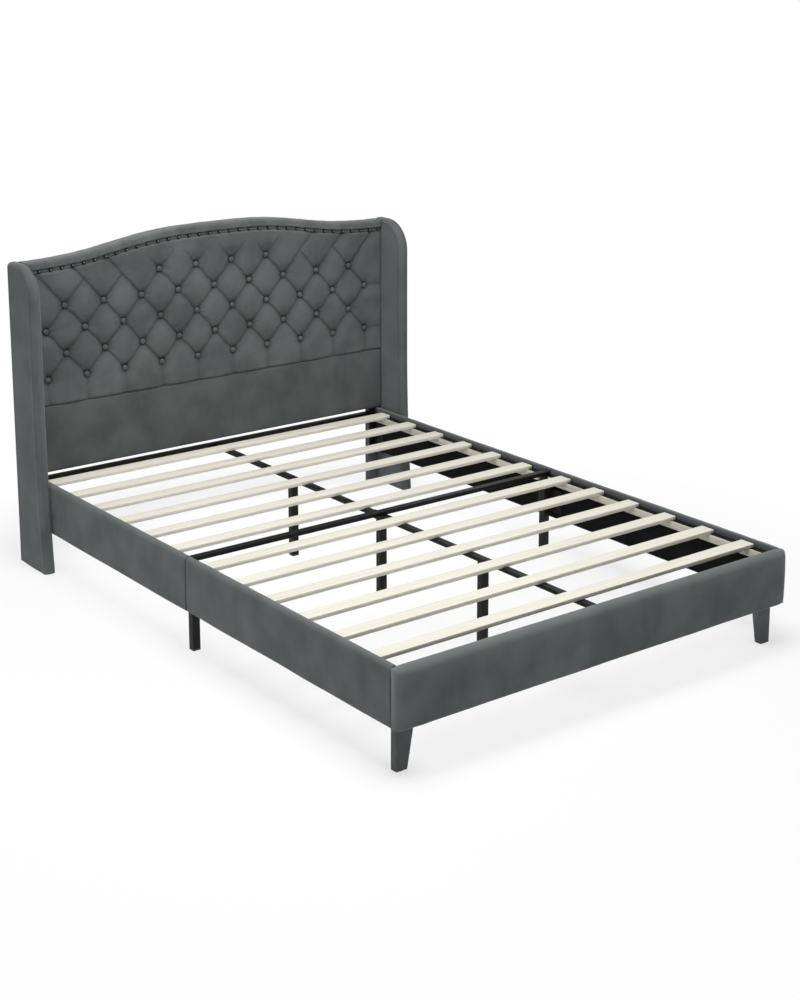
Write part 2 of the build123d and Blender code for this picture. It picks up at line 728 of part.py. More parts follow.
with BuildPart() as centre_rail_brackets:
    for face_y, way in ((rail_foot_y, 1), (rail_head_y, -1)):
        slab((-ear_reach, ear_reach), (face_y - way * plate_thickness, face_y),
             (centre_rail_low - plate_thickness, support_height))
        slab((-centre_rail_width / 2, centre_rail_width / 2), (face_y, face_y + way * seat_length),
             (centre_rail_low - plate_thickness, centre_rail_low))
    bolt_bores(foot_ear_bolts + head_ear_bolts)
keep(centre_rail_brackets, "centre_rail_brackets")

steel_legs = {
    "centre_leg_foot": (0, foot_leg_y, centre_rail_low),
    "centre_leg_mid": (0, crossbar_y, centre_rail_low - sleeve_wall),
    "centre_leg_head": (0, head_leg_y, centre_rail_low),
    "side_leg_left": (-side_leg_x, crossbar_y, support_height),
    "side_leg_right": (side_leg_x, crossbar_y, support_height),
}
leg_half = steel_leg_size / 2
bore_half = leg_half - tube_wall
for name, (x, y, top) in steel_legs.items():
    with BuildPart() as steel_leg:
        slab((x - leg_half, x + leg_half), (y - leg_half, y + leg_half), (cap_height, top))
        slab((x - bore_half, x + bore_half), (y - bore_half, y + bore_half), (cap_height - overrun, top - tube_wall),
             mode=Mode.SUBTRACT)
    keep(steel_leg, name)

plug_half = bore_half - plug_clearance
with BuildPart() as leg_caps:
    for x, y, top in steel_legs.values():
        slab((x - leg_half, x + leg_half), (y - leg_half, y + leg_half), (0, cap_height))
        slab((x - plug_half, x + plug_half), (y - plug_half, y + plug_half), (cap_height, cap_height + cap_plug_height))
keep(leg_caps, "leg_caps")

# Glides under the wings, the posts and the foot legs
wing_mid_x = (wing_inner_x + wing_outer_x) / 2
post_mid_x = half_span - post_width / 2
glide_spots = []
for side in SIDES.values():
    glide_spots.append((side * wing_mid_x, wing_front_y + wing_thickness / 2))
    glide_spots.append((side * wing_mid_x, back_y - wing_thickness))
    glide_spots.append((side * post_mid_x, frame_mid_y))
    glide_spots.append((side * (leg_outer_x - leg_floor_width / 2), leg_mid_y))
with BuildPart() as floor_glides:
    with Locations(*[(x, y, glide_height / 2) for x, y in glide_spots]):
        Cylinder(glide_radius, glide_height)
keep(floor_glides, "floor_glides")

# Wooden slats, numbered from the foot to the head
slat_groups = (
    (foot_back_y + foot_slat_end_gap, crossbar_y - foot_slat_offset),
    (crossbar_y + head_slat_offset, post_front_y - head_bar_size - head_slat_end_gap),
)
slat_shares = [k / (slats_per_half - 1) for k in range(slats_per_half)]
slat_centres = [first + share * (last - first) for first, last in slat_groups for share in slat_shares]
for number, y in enumerate(slat_centres, start=1):
    with BuildPart() as slat:
        slab((-slat_half_length, slat_half_length), (y - slat_width / 2, y + slat_width / 2), (support_height, slat_top))
        fillet(slat.edges().filter_by(Axis.Z), radius=slat_corner_radius)
    keep(slat, f"slat_{number:02d}")

# All the bolts
all_bolts = foot_ear_bolts + head_ear_bolts
for group in (corner_rail_bolts, corner_foot_bolts, corner_leg_bolts, head_rail_bolts, head_post_bolts, joint_bolts,
              bar_post_bolts, wing_bolts):
    all_bolts = all_bolts + group["left"] + group["right"]
with BuildPart() as frame_bolts:
    for place, way, length in all_bolts:
        with Locations(bolt_plane(place, way) * Location((0, 0, bolt_head_height / 2))):
            Cylinder(bolt_head_radius, bolt_head_height)
        with Locations(bolt_plane(place, way) * Location((0, 0, -length / 2))):
            Cylinder(bolt_radius, length)
keep(frame_bolts, "frame_bolts")
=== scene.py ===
"""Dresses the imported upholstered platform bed: velvet pads, nails, slats, steel and a plain studio.

Lengths are metres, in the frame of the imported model: X across the bed, Y from the foot to the head, Z up.
"""

from __future__ import annotations

import logging
import math
from collections.abc import Callable, Iterator, Sequence
from contextlib import contextmanager
from dataclasses import dataclass, field
from enum import Enum
from functools import cache

import bmesh
import bpy
import numpy as np
from mathutils import Matrix, Vector

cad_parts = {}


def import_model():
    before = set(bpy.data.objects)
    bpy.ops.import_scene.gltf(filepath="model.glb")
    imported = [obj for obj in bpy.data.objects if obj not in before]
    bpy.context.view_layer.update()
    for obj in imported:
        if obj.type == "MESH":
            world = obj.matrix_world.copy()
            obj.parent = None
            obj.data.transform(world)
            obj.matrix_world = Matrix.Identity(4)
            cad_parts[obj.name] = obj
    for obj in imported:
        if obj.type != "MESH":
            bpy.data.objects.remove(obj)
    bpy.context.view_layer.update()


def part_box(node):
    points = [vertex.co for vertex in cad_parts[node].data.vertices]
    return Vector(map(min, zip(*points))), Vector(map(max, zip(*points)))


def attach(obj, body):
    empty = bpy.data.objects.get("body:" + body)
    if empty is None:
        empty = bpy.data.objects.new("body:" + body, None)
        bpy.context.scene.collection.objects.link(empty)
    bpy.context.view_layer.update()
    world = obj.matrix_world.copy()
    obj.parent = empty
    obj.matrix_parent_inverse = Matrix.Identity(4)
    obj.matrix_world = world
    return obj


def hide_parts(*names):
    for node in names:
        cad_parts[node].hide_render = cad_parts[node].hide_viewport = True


LOG = logging.getLogger("bed")
MM = 0.001
# Points closer than this are one point.
MERGED = 0.02 * MM
BODY = "root"
# The start of the random numbers, and how many waves add up to an uneven surface.
SEED = 11
WAVES = 14
# How far the boards' edges are taken off under their covers.
BOARD_EDGE = 5 * MM

Colour = tuple[float, float, float]


class Side(Enum):
    """The two long sides of the bed."""

    LEFT = -1
    RIGHT = 1

    @property
    def word(self) -> str:
        """The side's name as the model's nodes have it."""
        return self.name.lower()


class Half(Enum):
    """The two lengths of a side rail."""

    FOOT = "foot"
    HEAD = "head"


class Element(Enum):
    """What an edit-mode selection picks."""

    VERT = "VERT"
    EDGE = "EDGE"
    FACE = "FACE"


class Slot(Enum):
    """The material slots."""

    VELVET = "velvet"
    LEG = "leg_cover"
    TRIM = "trim_band"
    FRAME = "frame_wood"
    SLAT = "slat_wood"
    STEEL = "black_steel"
    BOLT = "bolt_steel"
    LINING = "black_cloth"
    NAIL = "nail_metal"
    PLASTIC = "black_plastic"


# Editing tools


def deselect_all() -> None:
    """Leaves nothing selected, in object mode."""
    if bpy.context.object is not None and bpy.context.object.mode != "OBJECT":
        bpy.ops.object.mode_set(mode="OBJECT")
    bpy.ops.object.select_all(action="DESELECT")


def activate(piece: bpy.types.Object) -> None:
    """Selects one piece alone and makes it the active one."""
    deselect_all()
    piece.select_set(True)
    bpy.context.view_layer.objects.active = piece


@contextmanager
def editing(piece: bpy.types.Object, element: Element = Element.VERT) -> Iterator[None]:
    """Opens a piece in edit mode with nothing selected, and leaves edit mode at the end.

    Args:
        piece: The mesh piece to edit.
        element: What selections pick.
    """
    activate(piece)
    bpy.ops.object.mode_set(mode="EDIT")
    bpy.ops.mesh.select_mode(type=element.value)
    bpy.ops.mesh.select_all(action="DESELECT")
    yield
    bpy.ops.object.mode_set(mode="OBJECT")


def choose(piece: bpy.types.Object, element: Element, test: Callable[..., bool]) -> None:
    """Selects the elements that pass a test, in edit mode.

    Args:
        piece: The piece in edit mode.
        element: What to test.
        test: Takes a bmesh element and says whether it is selected.
    """
    mesh = bmesh.from_edit_mesh(piece.data)
    bpy.ops.mesh.select_all(action="DESELECT")
    pools = {Element.VERT: mesh.verts, Element.EDGE: mesh.edges, Element.FACE: mesh.faces}
    for part in pools[element]:
        if test(part):
            part.select_set(True)
    bmesh.update_edit_mesh(piece.data)


def middle(part: bmesh.types.BMEdge | bmesh.types.BMFace) -> Vector:
    """Gives the middle of an edge or a face."""
    return sum((v.co for v in part.verts), Vector()) / len(part.verts)


def settle(piece: bpy.types.Object, name: str) -> bpy.types.Object:
    """Names a piece and puts its place into its mesh.

    Args:
        piece: A new object.
        name: Its name in the table of pieces.

    Returns:
        The piece, at the origin, unturned and unscaled.
    """
    piece.name = name
    piece.data.name = name
    piece.data.transform(piece.matrix_basis)
    piece.matrix_basis = Matrix.Identity(4)
    return piece


def add_block(name: str, low: Vector, high: Vector) -> bpy.types.Object:
    """Adds a box between two corners, as the start of a piece."""
    deselect_all()
    bpy.ops.mesh.primitive_cube_add(size=1, location=(low + high) / 2)
    piece = bpy.context.object
    piece.scale = high - low
    return settle(piece, name)


def apply_modifier(piece: bpy.types.Object, kind: str, **settings: object) -> None:
    """Adds one modifier with its settings and applies it at once.

    Args:
        piece: The piece that the modifier shapes.
        kind: Blender's word for the modifier.
        settings: Its properties by name.
    """
    modifier = piece.modifiers.new(kind.title(), kind)
    for key, value in settings.items():
        setattr(modifier, key, value)
    activate(piece)
    bpy.ops.object.modifier_apply(modifier=modifier.name)


def smooth(piece: bpy.types.Object, angle: float = 40.0) -> None:
    """Shades a piece smooth, with sharp edges above an angle in degrees."""
    activate(piece)
    bpy.ops.object.shade_smooth_by_angle(angle=math.radians(angle))


def join(pieces: Sequence[bpy.types.Object], name: str) -> bpy.types.Object:
    """Joins several copies into one piece."""
    activate(pieces[0])
    for piece in pieces:
        piece.select_set(True)
    bpy.ops.object.join()
    return settle(bpy.context.object, name)


def copy_to(pattern: bpy.types.Object, place: Matrix) -> bpy.types.Object:
    """Copies a piece with its own mesh and moves the mesh to a place."""
    twin = pattern.copy()
    twin.data = pattern.data.copy()
    bpy.context.scene.collection.objects.link(twin)
    twin.data.transform(place)
    return twin


def remove(piece: bpy.types.Object) -> None:
    """Deletes a pattern piece once its copies are made."""
    bpy.data.objects.remove(piece)


def dress(
    piece: bpy.types.Object,
    finishes: Sequence[Finish],
    replaces: Sequence[str] = (),
) -> bpy.types.Object:
    """Gives a finished piece its material, its body and what it stands for.

    Args:
        piece: The finished piece.
        finishes: Its finishes, in the order of its faces' material numbers.
        replaces: The model's nodes that it stands for.

    Returns:
        The same piece.
    """
    for finish in finishes:
        piece.data.materials.append(made(finish))
    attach(piece, BODY)
    if replaces:
        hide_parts(*replaces)
    LOG.info("%s: %d faces", piece.name, len(piece.data.polygons))
    return piece


# Reading the model


def islands(node: str) -> list[np.ndarray]:
    """Splits a node of the model into its separate solids.

    Args:
        node: The node's name.

    Returns:
        The points of each solid, ordered along X, Y and Z.
    """
    mesh = bmesh.new()
    mesh.from_mesh(bpy.data.objects[node].data)
    bmesh.ops.remove_doubles(mesh, verts=mesh.verts, dist=MERGED / 2)
    mesh.verts.ensure_lookup_table()
    seen: set[int] = set()
    found = []
    for start in mesh.verts:
        if start.index in seen:
            continue
        seen.add(start.index)
        queue, points = [start], []
        while queue:
            vert = queue.pop()
            points.append(tuple(vert.co))
            for edge in vert.link_edges:
                other = edge.other_vert(vert)
                if other.index not in seen:
                    seen.add(other.index)
                    queue.append(other)
        found.append(np.array(points))
    mesh.free()
    return sorted(found, key=lambda p: tuple(np.round(p.mean(axis=0), 4)))


# Shapes of cloth


def rounded(corners: Sequence[Sequence[float]], radii: Sequence[float], steps: int = 7) -> np.ndarray:
    """Gives a flat path whose inner corners are rounded.

    Args:
        corners: The path's corners.
        radii: One radius for each corner between the two ends.
        steps: Pieces in each arc.

    Returns:
        The points of the path.
    """
    points = [np.array(corners[0], float)]
    for before, corner, after, radius in zip(corners, corners[1:], corners[2:], radii):
        before, corner, after = (np.array(p, float) for p in (before, corner, after))
        back = (before - corner) / np.linalg.norm(before - corner)
        ahead = (after - corner) / np.linalg.norm(after - corner)
        half = math.acos(float(np.clip(back @ ahead, -1, 1))) / 2
        bisector = (back + ahead) / np.linalg.norm(back + ahead)
        centre = corner + bisector * radius / math.sin(half)
        start = corner + back * radius / math.tan(half) - centre
        turn = math.copysign(math.pi - 2 * half, back[1] * ahead[0] - back[0] * ahead[1])
        for k in range(steps + 1):
            angle = turn * k / steps
            spin = np.array([[math.cos(angle), -math.sin(angle)], [math.sin(angle), math.cos(angle)]])
            points.append(centre + spin @ start)
    points.append(np.array(corners[-1], float))
    return np.array(points)


def refined(path: np.ndarray, spacing: float) -> np.ndarray:
    """Divides a path's long runs.

    Args:
        path: The path's points.
        spacing: The longest piece that is left whole.

    Returns:
        The path with the points between.
    """
    points = [path[0]]
    for start, finish in zip(path, path[1:]):
        count = max(1, math.ceil(np.linalg.norm(finish - start) / spacing))
        points += [start + (finish - start) * k / count for k in range(1, count + 1)]
    return np.array(points)


def normals_of(path: np.ndarray) -> np.ndarray:
    """Gives the unit normals of a flat path, on its left-hand side."""
    tangent = np.gradient(path, axis=0)
    tangent /= np.maximum(np.linalg.norm(tangent, axis=1, keepdims=True), 1e-12)
    return np.stack([-tangent[:, 1], tangent[:, 0]], axis=1)


def unevenness(a: np.ndarray, b: np.ndarray, size: float, seed: int) -> np.ndarray:
    """Gives smooth random waves over two coordinates.

    Args:
        a: First coordinate.
        b: Second coordinate.
        size: The usual distance between two waves.
        seed: Which waves.

    Returns:
        Values of about -1 to 1, of the coordinates' shape.
    """
    rng = np.random.default_rng(SEED + seed)
    total = np.zeros(np.broadcast(a, b).shape)
    for _ in range(WAVES):
        angle, phase = rng.uniform(0, 2 * math.pi, 2)
        pace = 2 * math.pi / (size * rng.uniform(0.7, 2.2))
        total = total + np.sin(pace * (a * math.cos(angle) + b * math.sin(angle)) + phase)
    return total / math.sqrt(WAVES)


def loft(
    name: str,
    rings: np.ndarray,
    inside: Sequence[float],
    around: bool = False,
    caps: bool = False,
    crease: np.ndarray | None = None,
    light: np.ndarray | None = None,
) -> bpy.types.Object:
    """Makes a mesh from rows of points, with its faces turned outwards.

    Args:
        name: The piece's name.
        rings: Rows of points, all of one length.
        inside: A point on the inner side of the surface.
        around: Whether each row closes on itself.
        caps: Whether the first and last rows are closed by a face.
        crease: How much shade is painted into the colour at each point, from 0 to 1.
        light: How much highlight is painted into the colour at each point, from 0 to 1.

    Returns:
        The new piece.
    """
    rows, columns = rings.shape[:2]
    steps = columns if around else columns - 1
    i, j = np.meshgrid(np.arange(rows - 1), np.arange(steps), indexing="ij")
    ahead = (j + 1) % columns
    here, beyond = i * columns, (i + 1) * columns
    quads = np.stack([here + j, here + ahead, beyond + ahead, beyond + j], -1)
    faces = quads.reshape(-1, 4).tolist()
    if caps:
        faces += [list(range(columns))[::-1], list(range((rows - 1) * columns, rows * columns))]
    data = bpy.data.meshes.new(name)
    data.from_pydata(rings.reshape(-1, 3).tolist(), [], faces)
    for label, values in (("crease", crease), ("light", light)):
        if values is not None:
            layer = data.attributes.new(label, "FLOAT", "POINT")
            layer.data.foreach_set("value", values.ravel().astype(np.float32))
    mesh = bmesh.new()
    mesh.from_mesh(data)
    bmesh.ops.remove_doubles(mesh, verts=mesh.verts, dist=MERGED)
    bmesh.ops.dissolve_degenerate(mesh, edges=mesh.edges, dist=MERGED / 4)
    centre = Vector(inside)
    outward = sum(f.normal.dot(f.calc_center_median() - centre) * f.calc_area() for f in mesh.faces)
    if around and caps:
        bmesh.ops.recalc_face_normals(mesh, faces=mesh.faces)
    elif outward < 0:
        bmesh.ops.reverse_faces(mesh, faces=mesh.faces)
    mesh.to_mesh(data)
    mesh.free()
    piece = bpy.data.objects.new(name, data)
    bpy.context.scene.collection.objects.link(piece)
    return piece


def thicken(piece: bpy.types.Object, thickness: float) -> None:
    """Gives a cloth surface its thickness, inwards."""
    apply_modifier(piece, "SOLIDIFY", thickness=thickness, offset=-1.0, use_even_offset=True)


def end_dip(distance: np.ndarray, radius: float) -> np.ndarray:
    """Gives how far a cover draws in near its end.

    Args:
        distance: Distance from the end.
        radius: The radius of the end's rounding.

    Returns:
        The inward step, from the radius at the end to nothing.
    """
    gap = np.clip(radius - distance, 0, radius)
    return radius - np.sqrt(np.maximum(radius**2 - gap**2, 0))


def end_stations(low: float, high: float, radius: float, spacing: float) -> np.ndarray:
    """Gives the stations of a sweep, closer together near its two rounded ends.

    Args:
        low: Where the sweep starts.
        high: Where it ends.
        radius: The radius of its rounded ends.
        spacing: The longest step between two stations away from the ends.

    Returns:
        The stations in rising order.
    """
    turn = np.linspace(0, math.pi / 2, 7)
    near = radius * (1 - np.cos(turn))
    count = max(2, math.ceil((high - low - 2 * radius) / spacing))
    between = np.linspace(low + radius, high - radius, count)
    return np.unique(np.concatenate([low + near, between, high - near]))


# Materials


@dataclass
class Desk:
    """A material's node tree, with short ways to add and join nodes."""

    material: bpy.types.Material
    tree: bpy.types.NodeTree = field(init=False)

    def __post_init__(self) -> None:
        """Turns the material's nodes on and takes their tree."""
        self.material.use_nodes = True
        self.tree = self.material.node_tree

    @property
    def shader(self) -> bpy.types.Node:
        """The material's main shader."""
        return next(n for n in self.tree.nodes if n.type == "BSDF_PRINCIPLED")

    def add(self, kind: str, **inputs: object) -> bpy.types.Node:
        """Adds a node and sets or joins its inputs.

        Args:
            kind: The node's type.
            inputs: Values or sockets by the input's name, with underscores for spaces.

        Returns:
            The new node.
        """
        node = self.tree.nodes.new(kind)
        for key, value in inputs.items():
            self.put(node, key.replace("_", " "), value)
        return node

    def put(self, node: bpy.types.Node, key: str | int, value: object) -> None:
        """Sets one input of a node by its name or number, or joins it to a socket."""
        socket = node.inputs[key]
        if isinstance(value, bpy.types.NodeSocket):
            self.tree.links.new(value, socket)
        else:
            socket.default_value = value

    def place(self, stretch: tuple[float, float, float] = (1, 1, 1)) -> bpy.types.NodeSocket:
        """Gives the object's own coordinates, stretched along each axis."""
        coordinates = self.add("ShaderNodeTexCoord")
        mapping = self.add("ShaderNodeMapping", Vector=coordinates.outputs["Object"], Scale=stretch)
        return mapping.outputs["Vector"]

    def noise(
        self, scale: float, detail: float, stretch: tuple[float, float, float] = (1, 1, 1)
    ) -> bpy.types.NodeSocket:
        """Gives a noise value; the scale is in waves per metre."""
        node = self.add("ShaderNodeTexNoise", Vector=self.place(stretch), Scale=scale, Detail=detail)
        return node.outputs["Fac"]

    def attribute(self, name: str) -> bpy.types.NodeSocket:
        """Gives the value of one of the piece's own attributes."""
        node = self.add("ShaderNodeAttribute")
        node.attribute_name = name
        return node.outputs["Fac"]

    def ramp(
        self, value: bpy.types.NodeSocket, low: float, high: float, to_low: float = 0, to_high: float = 1
    ) -> bpy.types.NodeSocket:
        """Maps a range of a value to another range, clamped."""
        limits = {"From_Min": low, "From_Max": high, "To_Min": to_low, "To_Max": to_high}
        return self.add("ShaderNodeMapRange", Value=value, **limits).outputs["Result"]

    def fill(self, node: bpy.types.Node, values: dict[int, object]) -> None:
        """Sets or joins several inputs of a node by their numbers."""
        for number, value in values.items():
            self.put(node, number, value)

    def blend(self, share: object, first: object, second: object) -> bpy.types.NodeSocket:
        """Mixes two colours by a share."""
        node = self.tree.nodes.new("ShaderNodeMix")
        node.data_type = "RGBA"
        self.fill(node, {0: share, 6: first, 7: second})
        return node.outputs[2]

    def math(self, operation: str, first: object, second: object) -> bpy.types.NodeSocket:
        """Combines two numbers."""
        node = self.tree.nodes.new("ShaderNodeMath")
        node.operation = operation
        self.fill(node, {0: first, 1: second})
        return node.outputs[0]

    def bump(self, height: bpy.types.NodeSocket, depth: float, strength: float = 1.0) -> None:
        """Adds relief of a real depth to the shader."""
        node = self.add("ShaderNodeBump", Height=height, Distance=depth, Strength=strength)
        self.put(self.shader, "Normal", node.outputs["Normal"])


def opaque(colour: Colour, share: float = 1.0) -> tuple[float, float, float, float]:
    """Gives a node colour from a plain one, made darker or lighter by a share."""
    return (colour[0] * share, colour[1] * share, colour[2] * share, 1.0)


@dataclass(frozen=True)
class Velvet:
    """Short-pile velvet: mottled by the nap, lighter where the pile is seen from the side, with shade and
    highlights painted into its colour from the piece's attributes.
    """

    name: str
    colour: Colour
    nap_light: float = 1.22
    nap_dark: float = 0.80
    crease_share: float = 0.30
    open_pile_share: float = 2.0
    roughness: float = 0.82
    shine: float = 0.22
    sheen: float = 0.34
    sheen_roughness: float = 0.38
    sheen_tint: Colour = (0.80, 0.84, 0.86)
    patch_waves: float = 8.5
    streak: tuple[float, float, float] = (46, 46, 9)
    streak_share: float = 0.2
    fibre_waves: float = 900
    fibre_share: float = 0.22
    fibre_dark: float = 0.55
    pile_waves: float = 1500
    clump_waves: float = 140
    clump_height: float = 2.0
    relief_depth: float = 0.35 * MM
    relief_share: float = 0.55

    def material(self) -> bpy.types.Material:
        """Makes the velvet material."""
        desk = Desk(bpy.data.materials.new(self.name))
        light_nap = opaque(self.colour, self.nap_light)
        patches = desk.ramp(desk.noise(self.patch_waves, 3), 0.36, 0.66)
        streaks = desk.ramp(desk.noise(1.0, 3, self.streak), 0.35, 0.68)
        fibres = desk.ramp(desk.noise(self.fibre_waves, 2), 0.35, 0.65)
        nap = desk.blend(patches, opaque(self.colour, self.nap_dark), light_nap)
        nap = desk.blend(desk.math("MULTIPLY", streaks, self.streak_share), nap, light_nap)
        dark_fibres = desk.math("MULTIPLY", fibres, self.fibre_share)
        nap = desk.blend(dark_fibres, nap, opaque(self.colour, self.fibre_dark))
        # Painted highlight: lightens the colour where the piece's light attribute is set.
        nap = desk.blend(desk.attribute("light"), nap, opaque(self.colour, self.open_pile_share))
        # Painted shade: darkens the colour where the piece's attribute marks folds, seams and joins.
        nap = desk.blend(desk.attribute("crease"), nap, opaque(self.colour, self.crease_share))
        shader = desk.shader
        desk.put(shader, "Base Color", nap)
        desk.put(shader, "Roughness", self.roughness)
        desk.put(shader, "Specular IOR Level", self.shine)
        desk.put(shader, "Sheen Weight", self.sheen)
        desk.put(shader, "Sheen Roughness", self.sheen_roughness)
        desk.put(shader, "Sheen Tint", opaque(self.sheen_tint))
        clumps = desk.math("MULTIPLY", desk.noise(self.clump_waves, 2), self.clump_height)
        relief = desk.math("ADD", desk.noise(self.pile_waves, 2), clumps)
        desk.bump(relief, self.relief_depth, self.relief_share)
        return desk.material


@dataclass(frozen=True)
class Timber:
    """Bare wood with its grain along one axis."""

    name: str
    colour: Colour
    grain_colour: Colour
    grain: tuple[float, float, float]
    line_share: float = 0.55
    broad_share: float = 0.35
    broad_dark: float = 0.90
    fleck_stretch: float = 2.4
    fleck_share: float = 0.35
    fleck_dark: float = 0.82
    roughness: float = 0.62
    shine: float = 0.3
    relief_depth: float = 0.12 * MM
    relief_share: float = 0.5

    def material(self) -> bpy.types.Material:
        """Makes the wood material."""
        desk = Desk(bpy.data.materials.new(self.name))
        lines = desk.ramp(desk.noise(1.0, 6, self.grain), 0.38, 0.72)
        broad = desk.ramp(desk.noise(0.25, 3, self.grain), 0.35, 0.65)
        fine_grain = tuple(self.fleck_stretch * waves for waves in self.grain)
        flecks = desk.ramp(desk.noise(1.0, 2, fine_grain), 0.62, 0.74)
        tone = opaque(self.colour)
        for pattern, share, colour in (
            (lines, self.line_share, opaque(self.grain_colour)),
            (broad, self.broad_share, opaque(self.colour, self.broad_dark)),
            (flecks, self.fleck_share, opaque(self.grain_colour, self.fleck_dark)),
        ):
            tone = desk.blend(desk.math("MULTIPLY", pattern, share), tone, colour)
        desk.put(desk.shader, "Base Color", tone)
        desk.put(desk.shader, "Roughness", self.roughness)
        desk.put(desk.shader, "Specular IOR Level", self.shine)
        desk.bump(lines, self.relief_depth, self.relief_share)
        return desk.material


@dataclass(frozen=True)
class Painted:
    """A painted, moulded or blackened hard surface with a fine skin, and where asked a painted highlight
    from the piece's light attribute.
    """

    name: str
    colour: Colour
    roughness: float
    metallic: float = 0.0
    shine: float = 0.5
    skin_waves: float = 420.0
    skin_depth: float = 0.06 * MM
    skin_share: float = 0.5
    cloud_waves: float = 26
    wear: float = 0.25
    worn_share: float = 2.0
    # How much lighter the colour is where the piece's light attribute is set: a painted highlight, as on the
    # nails' crowns.
    crown: float = 1.0
    smear_waves: float = 60
    smear: float = 0.15

    def material(self) -> bpy.types.Material:
        """Makes the painted material."""
        desk = Desk(bpy.data.materials.new(self.name))
        cloud = desk.ramp(desk.noise(self.cloud_waves, 4), 0.35, 0.68)
        worn = opaque(self.colour, self.worn_share)
        tone = desk.blend(desk.math("MULTIPLY", cloud, self.wear), opaque(self.colour), worn)
        if self.crown != 1.0:
            tone = desk.blend(desk.attribute("light"), tone, opaque(self.colour, self.crown))
        desk.put(desk.shader, "Base Color", tone)
        desk.put(desk.shader, "Metallic", self.metallic)
        desk.put(desk.shader, "Specular IOR Level", self.shine)
        smoothest, roughest = self.roughness * (1 - self.smear), min(1.0, self.roughness * (1 + self.smear))
        smears = desk.ramp(desk.noise(self.smear_waves, 3), 0.3, 0.7, smoothest, roughest)
        desk.put(desk.shader, "Roughness", smears)
        desk.bump(desk.noise(self.skin_waves, 2), self.skin_depth, self.skin_share)
        return desk.material


@dataclass(frozen=True)
class Woven:
    """Plain woven or pressed cloth with a fine even weave."""

    name: str
    colour: Colour
    threads: float = 900.0
    thread_share: float = 0.3
    thread_dark: float = 0.6
    cloud_waves: float = 14
    cloud_share: float = 0.5
    cloud_dark: float = 0.85
    cloud_light: float = 1.3
    roughness: float = 0.95
    shine: float = 0.15
    relief_depth: float = 0.15 * MM
    relief_share: float = 0.5

    def material(self) -> bpy.types.Material:
        """Makes the cloth material."""
        desk = Desk(bpy.data.materials.new(self.name))
        waves = []
        for axis in ("X", "Z"):
            wave = desk.add("ShaderNodeTexWave", Vector=desk.place(), Scale=self.threads / (2 * math.pi))
            wave.bands_direction = axis
            waves.append(wave.outputs["Fac"])
        weave = desk.math("MULTIPLY", waves[0], waves[1])
        cloud = desk.math("MULTIPLY", desk.ramp(desk.noise(self.cloud_waves, 4), 0.3, 0.7), self.cloud_share)
        dark, light = opaque(self.colour, self.cloud_dark), opaque(self.colour, self.cloud_light)
        tone = desk.blend(cloud, dark, light)
        threads = desk.math("MULTIPLY", weave, self.thread_share)
        tone = desk.blend(threads, tone, opaque(self.colour, self.thread_dark))
        desk.put(desk.shader, "Base Color", tone)
        desk.put(desk.shader, "Roughness", self.roughness)
        desk.put(desk.shader, "Specular IOR Level", self.shine)
        desk.bump(weave, self.relief_depth, self.relief_share)
        return desk.material


Finish = Velvet | Timber | Painted | Woven


@cache
def made(finish: Finish) -> bpy.types.Material:
    """Makes a finish's material at its first use, and gives the same one later."""
    return finish.material()


@dataclass(frozen=True)
class Finishes:
    """All the bed's finishes."""

    velvet: Velvet = Velvet("grey_velvet", (0.096, 0.106, 0.106))
    # A lighter copy of the velvet: painted light on the tufted pad.
    tufted: Velvet = Velvet("tufted_velvet", (0.112, 0.123, 0.123), crease_share=0.22)
    # Lighter copies of the velvet: painted light on the border and the trim band.
    border: Velvet = Velvet("border_velvet", (0.126, 0.137, 0.136), patch_waves=16)
    leg: Velvet = Velvet("leg_velvet", (0.098, 0.103, 0.107))
    trim: Velvet = Velvet("trim_velvet", (0.128, 0.136, 0.135), sheen=0.2)
    slat_face: Timber = Timber("pale_slat_face", (0.81, 0.79, 0.69), (0.65, 0.60, 0.47), (5, 150, 150))
    # Lighter than the faces: painted light on the slats' front edges; the grain there runs its own way.
    slat_edge: Timber = Timber("pale_slat_edge", (0.86, 0.82, 0.73), (0.66, 0.60, 0.49), (5, 260, 420))
    # Darker than the slats' pale wood: painted shade on the ledgers under the slats.
    ledger: Timber = Timber("pale_ledger", (0.60, 0.585, 0.49), (0.42, 0.38, 0.29), (150, 5, 150))
    # Dark-stained board: painted shade, so that where it shows at the seams it reads as shadow.
    board: Timber = Timber("brown_board", (0.16, 0.125, 0.09), (0.10, 0.075, 0.05), (60, 6, 90))
    steel: Painted = Painted("black_steel", (0.0045, 0.0042, 0.0038), 0.5, shine=0.16)
    leg_steel: Painted = Painted("leg_steel", (0.012, 0.0116, 0.010), 0.5, shine=0.16)
    bolt: Painted = Painted("black_bolt", (0.03, 0.03, 0.03), 0.34, metallic=0.9)
    nail: Painted = Painted("dark_nail", (0.006, 0.006, 0.0055), 0.14, shine=0.22, skin_depth=0.0, crown=40)
    plastic: Painted = Painted("black_plastic", (0.014, 0.014, 0.014), 0.6)
    lining: Woven = Woven("black_lining", (0.006, 0.006, 0.0065))


# The headboard


@dataclass
class Camelback:
    """The line of the headboard's top edge."""

    half_span: float
    peak: float
    end_height: float
    spread: float = 439 * MM
    power: float = 3.18
    shoulder: float = field(init=False)

    def __post_init__(self) -> None:
        """Works out the level that the line falls to beside the hump."""
        left_over = math.exp(-((self.half_span / self.spread) ** self.power))
        self.shoulder = (self.end_height - self.peak * left_over) / (1 - left_over)

    def height(self, x: np.ndarray | float) -> np.ndarray:
        """Gives the top line's height at a distance from the middle."""
        share = np.exp(-((np.abs(x) / self.spread) ** self.power))
        return self.shoulder + (self.peak - self.shoulder) * share


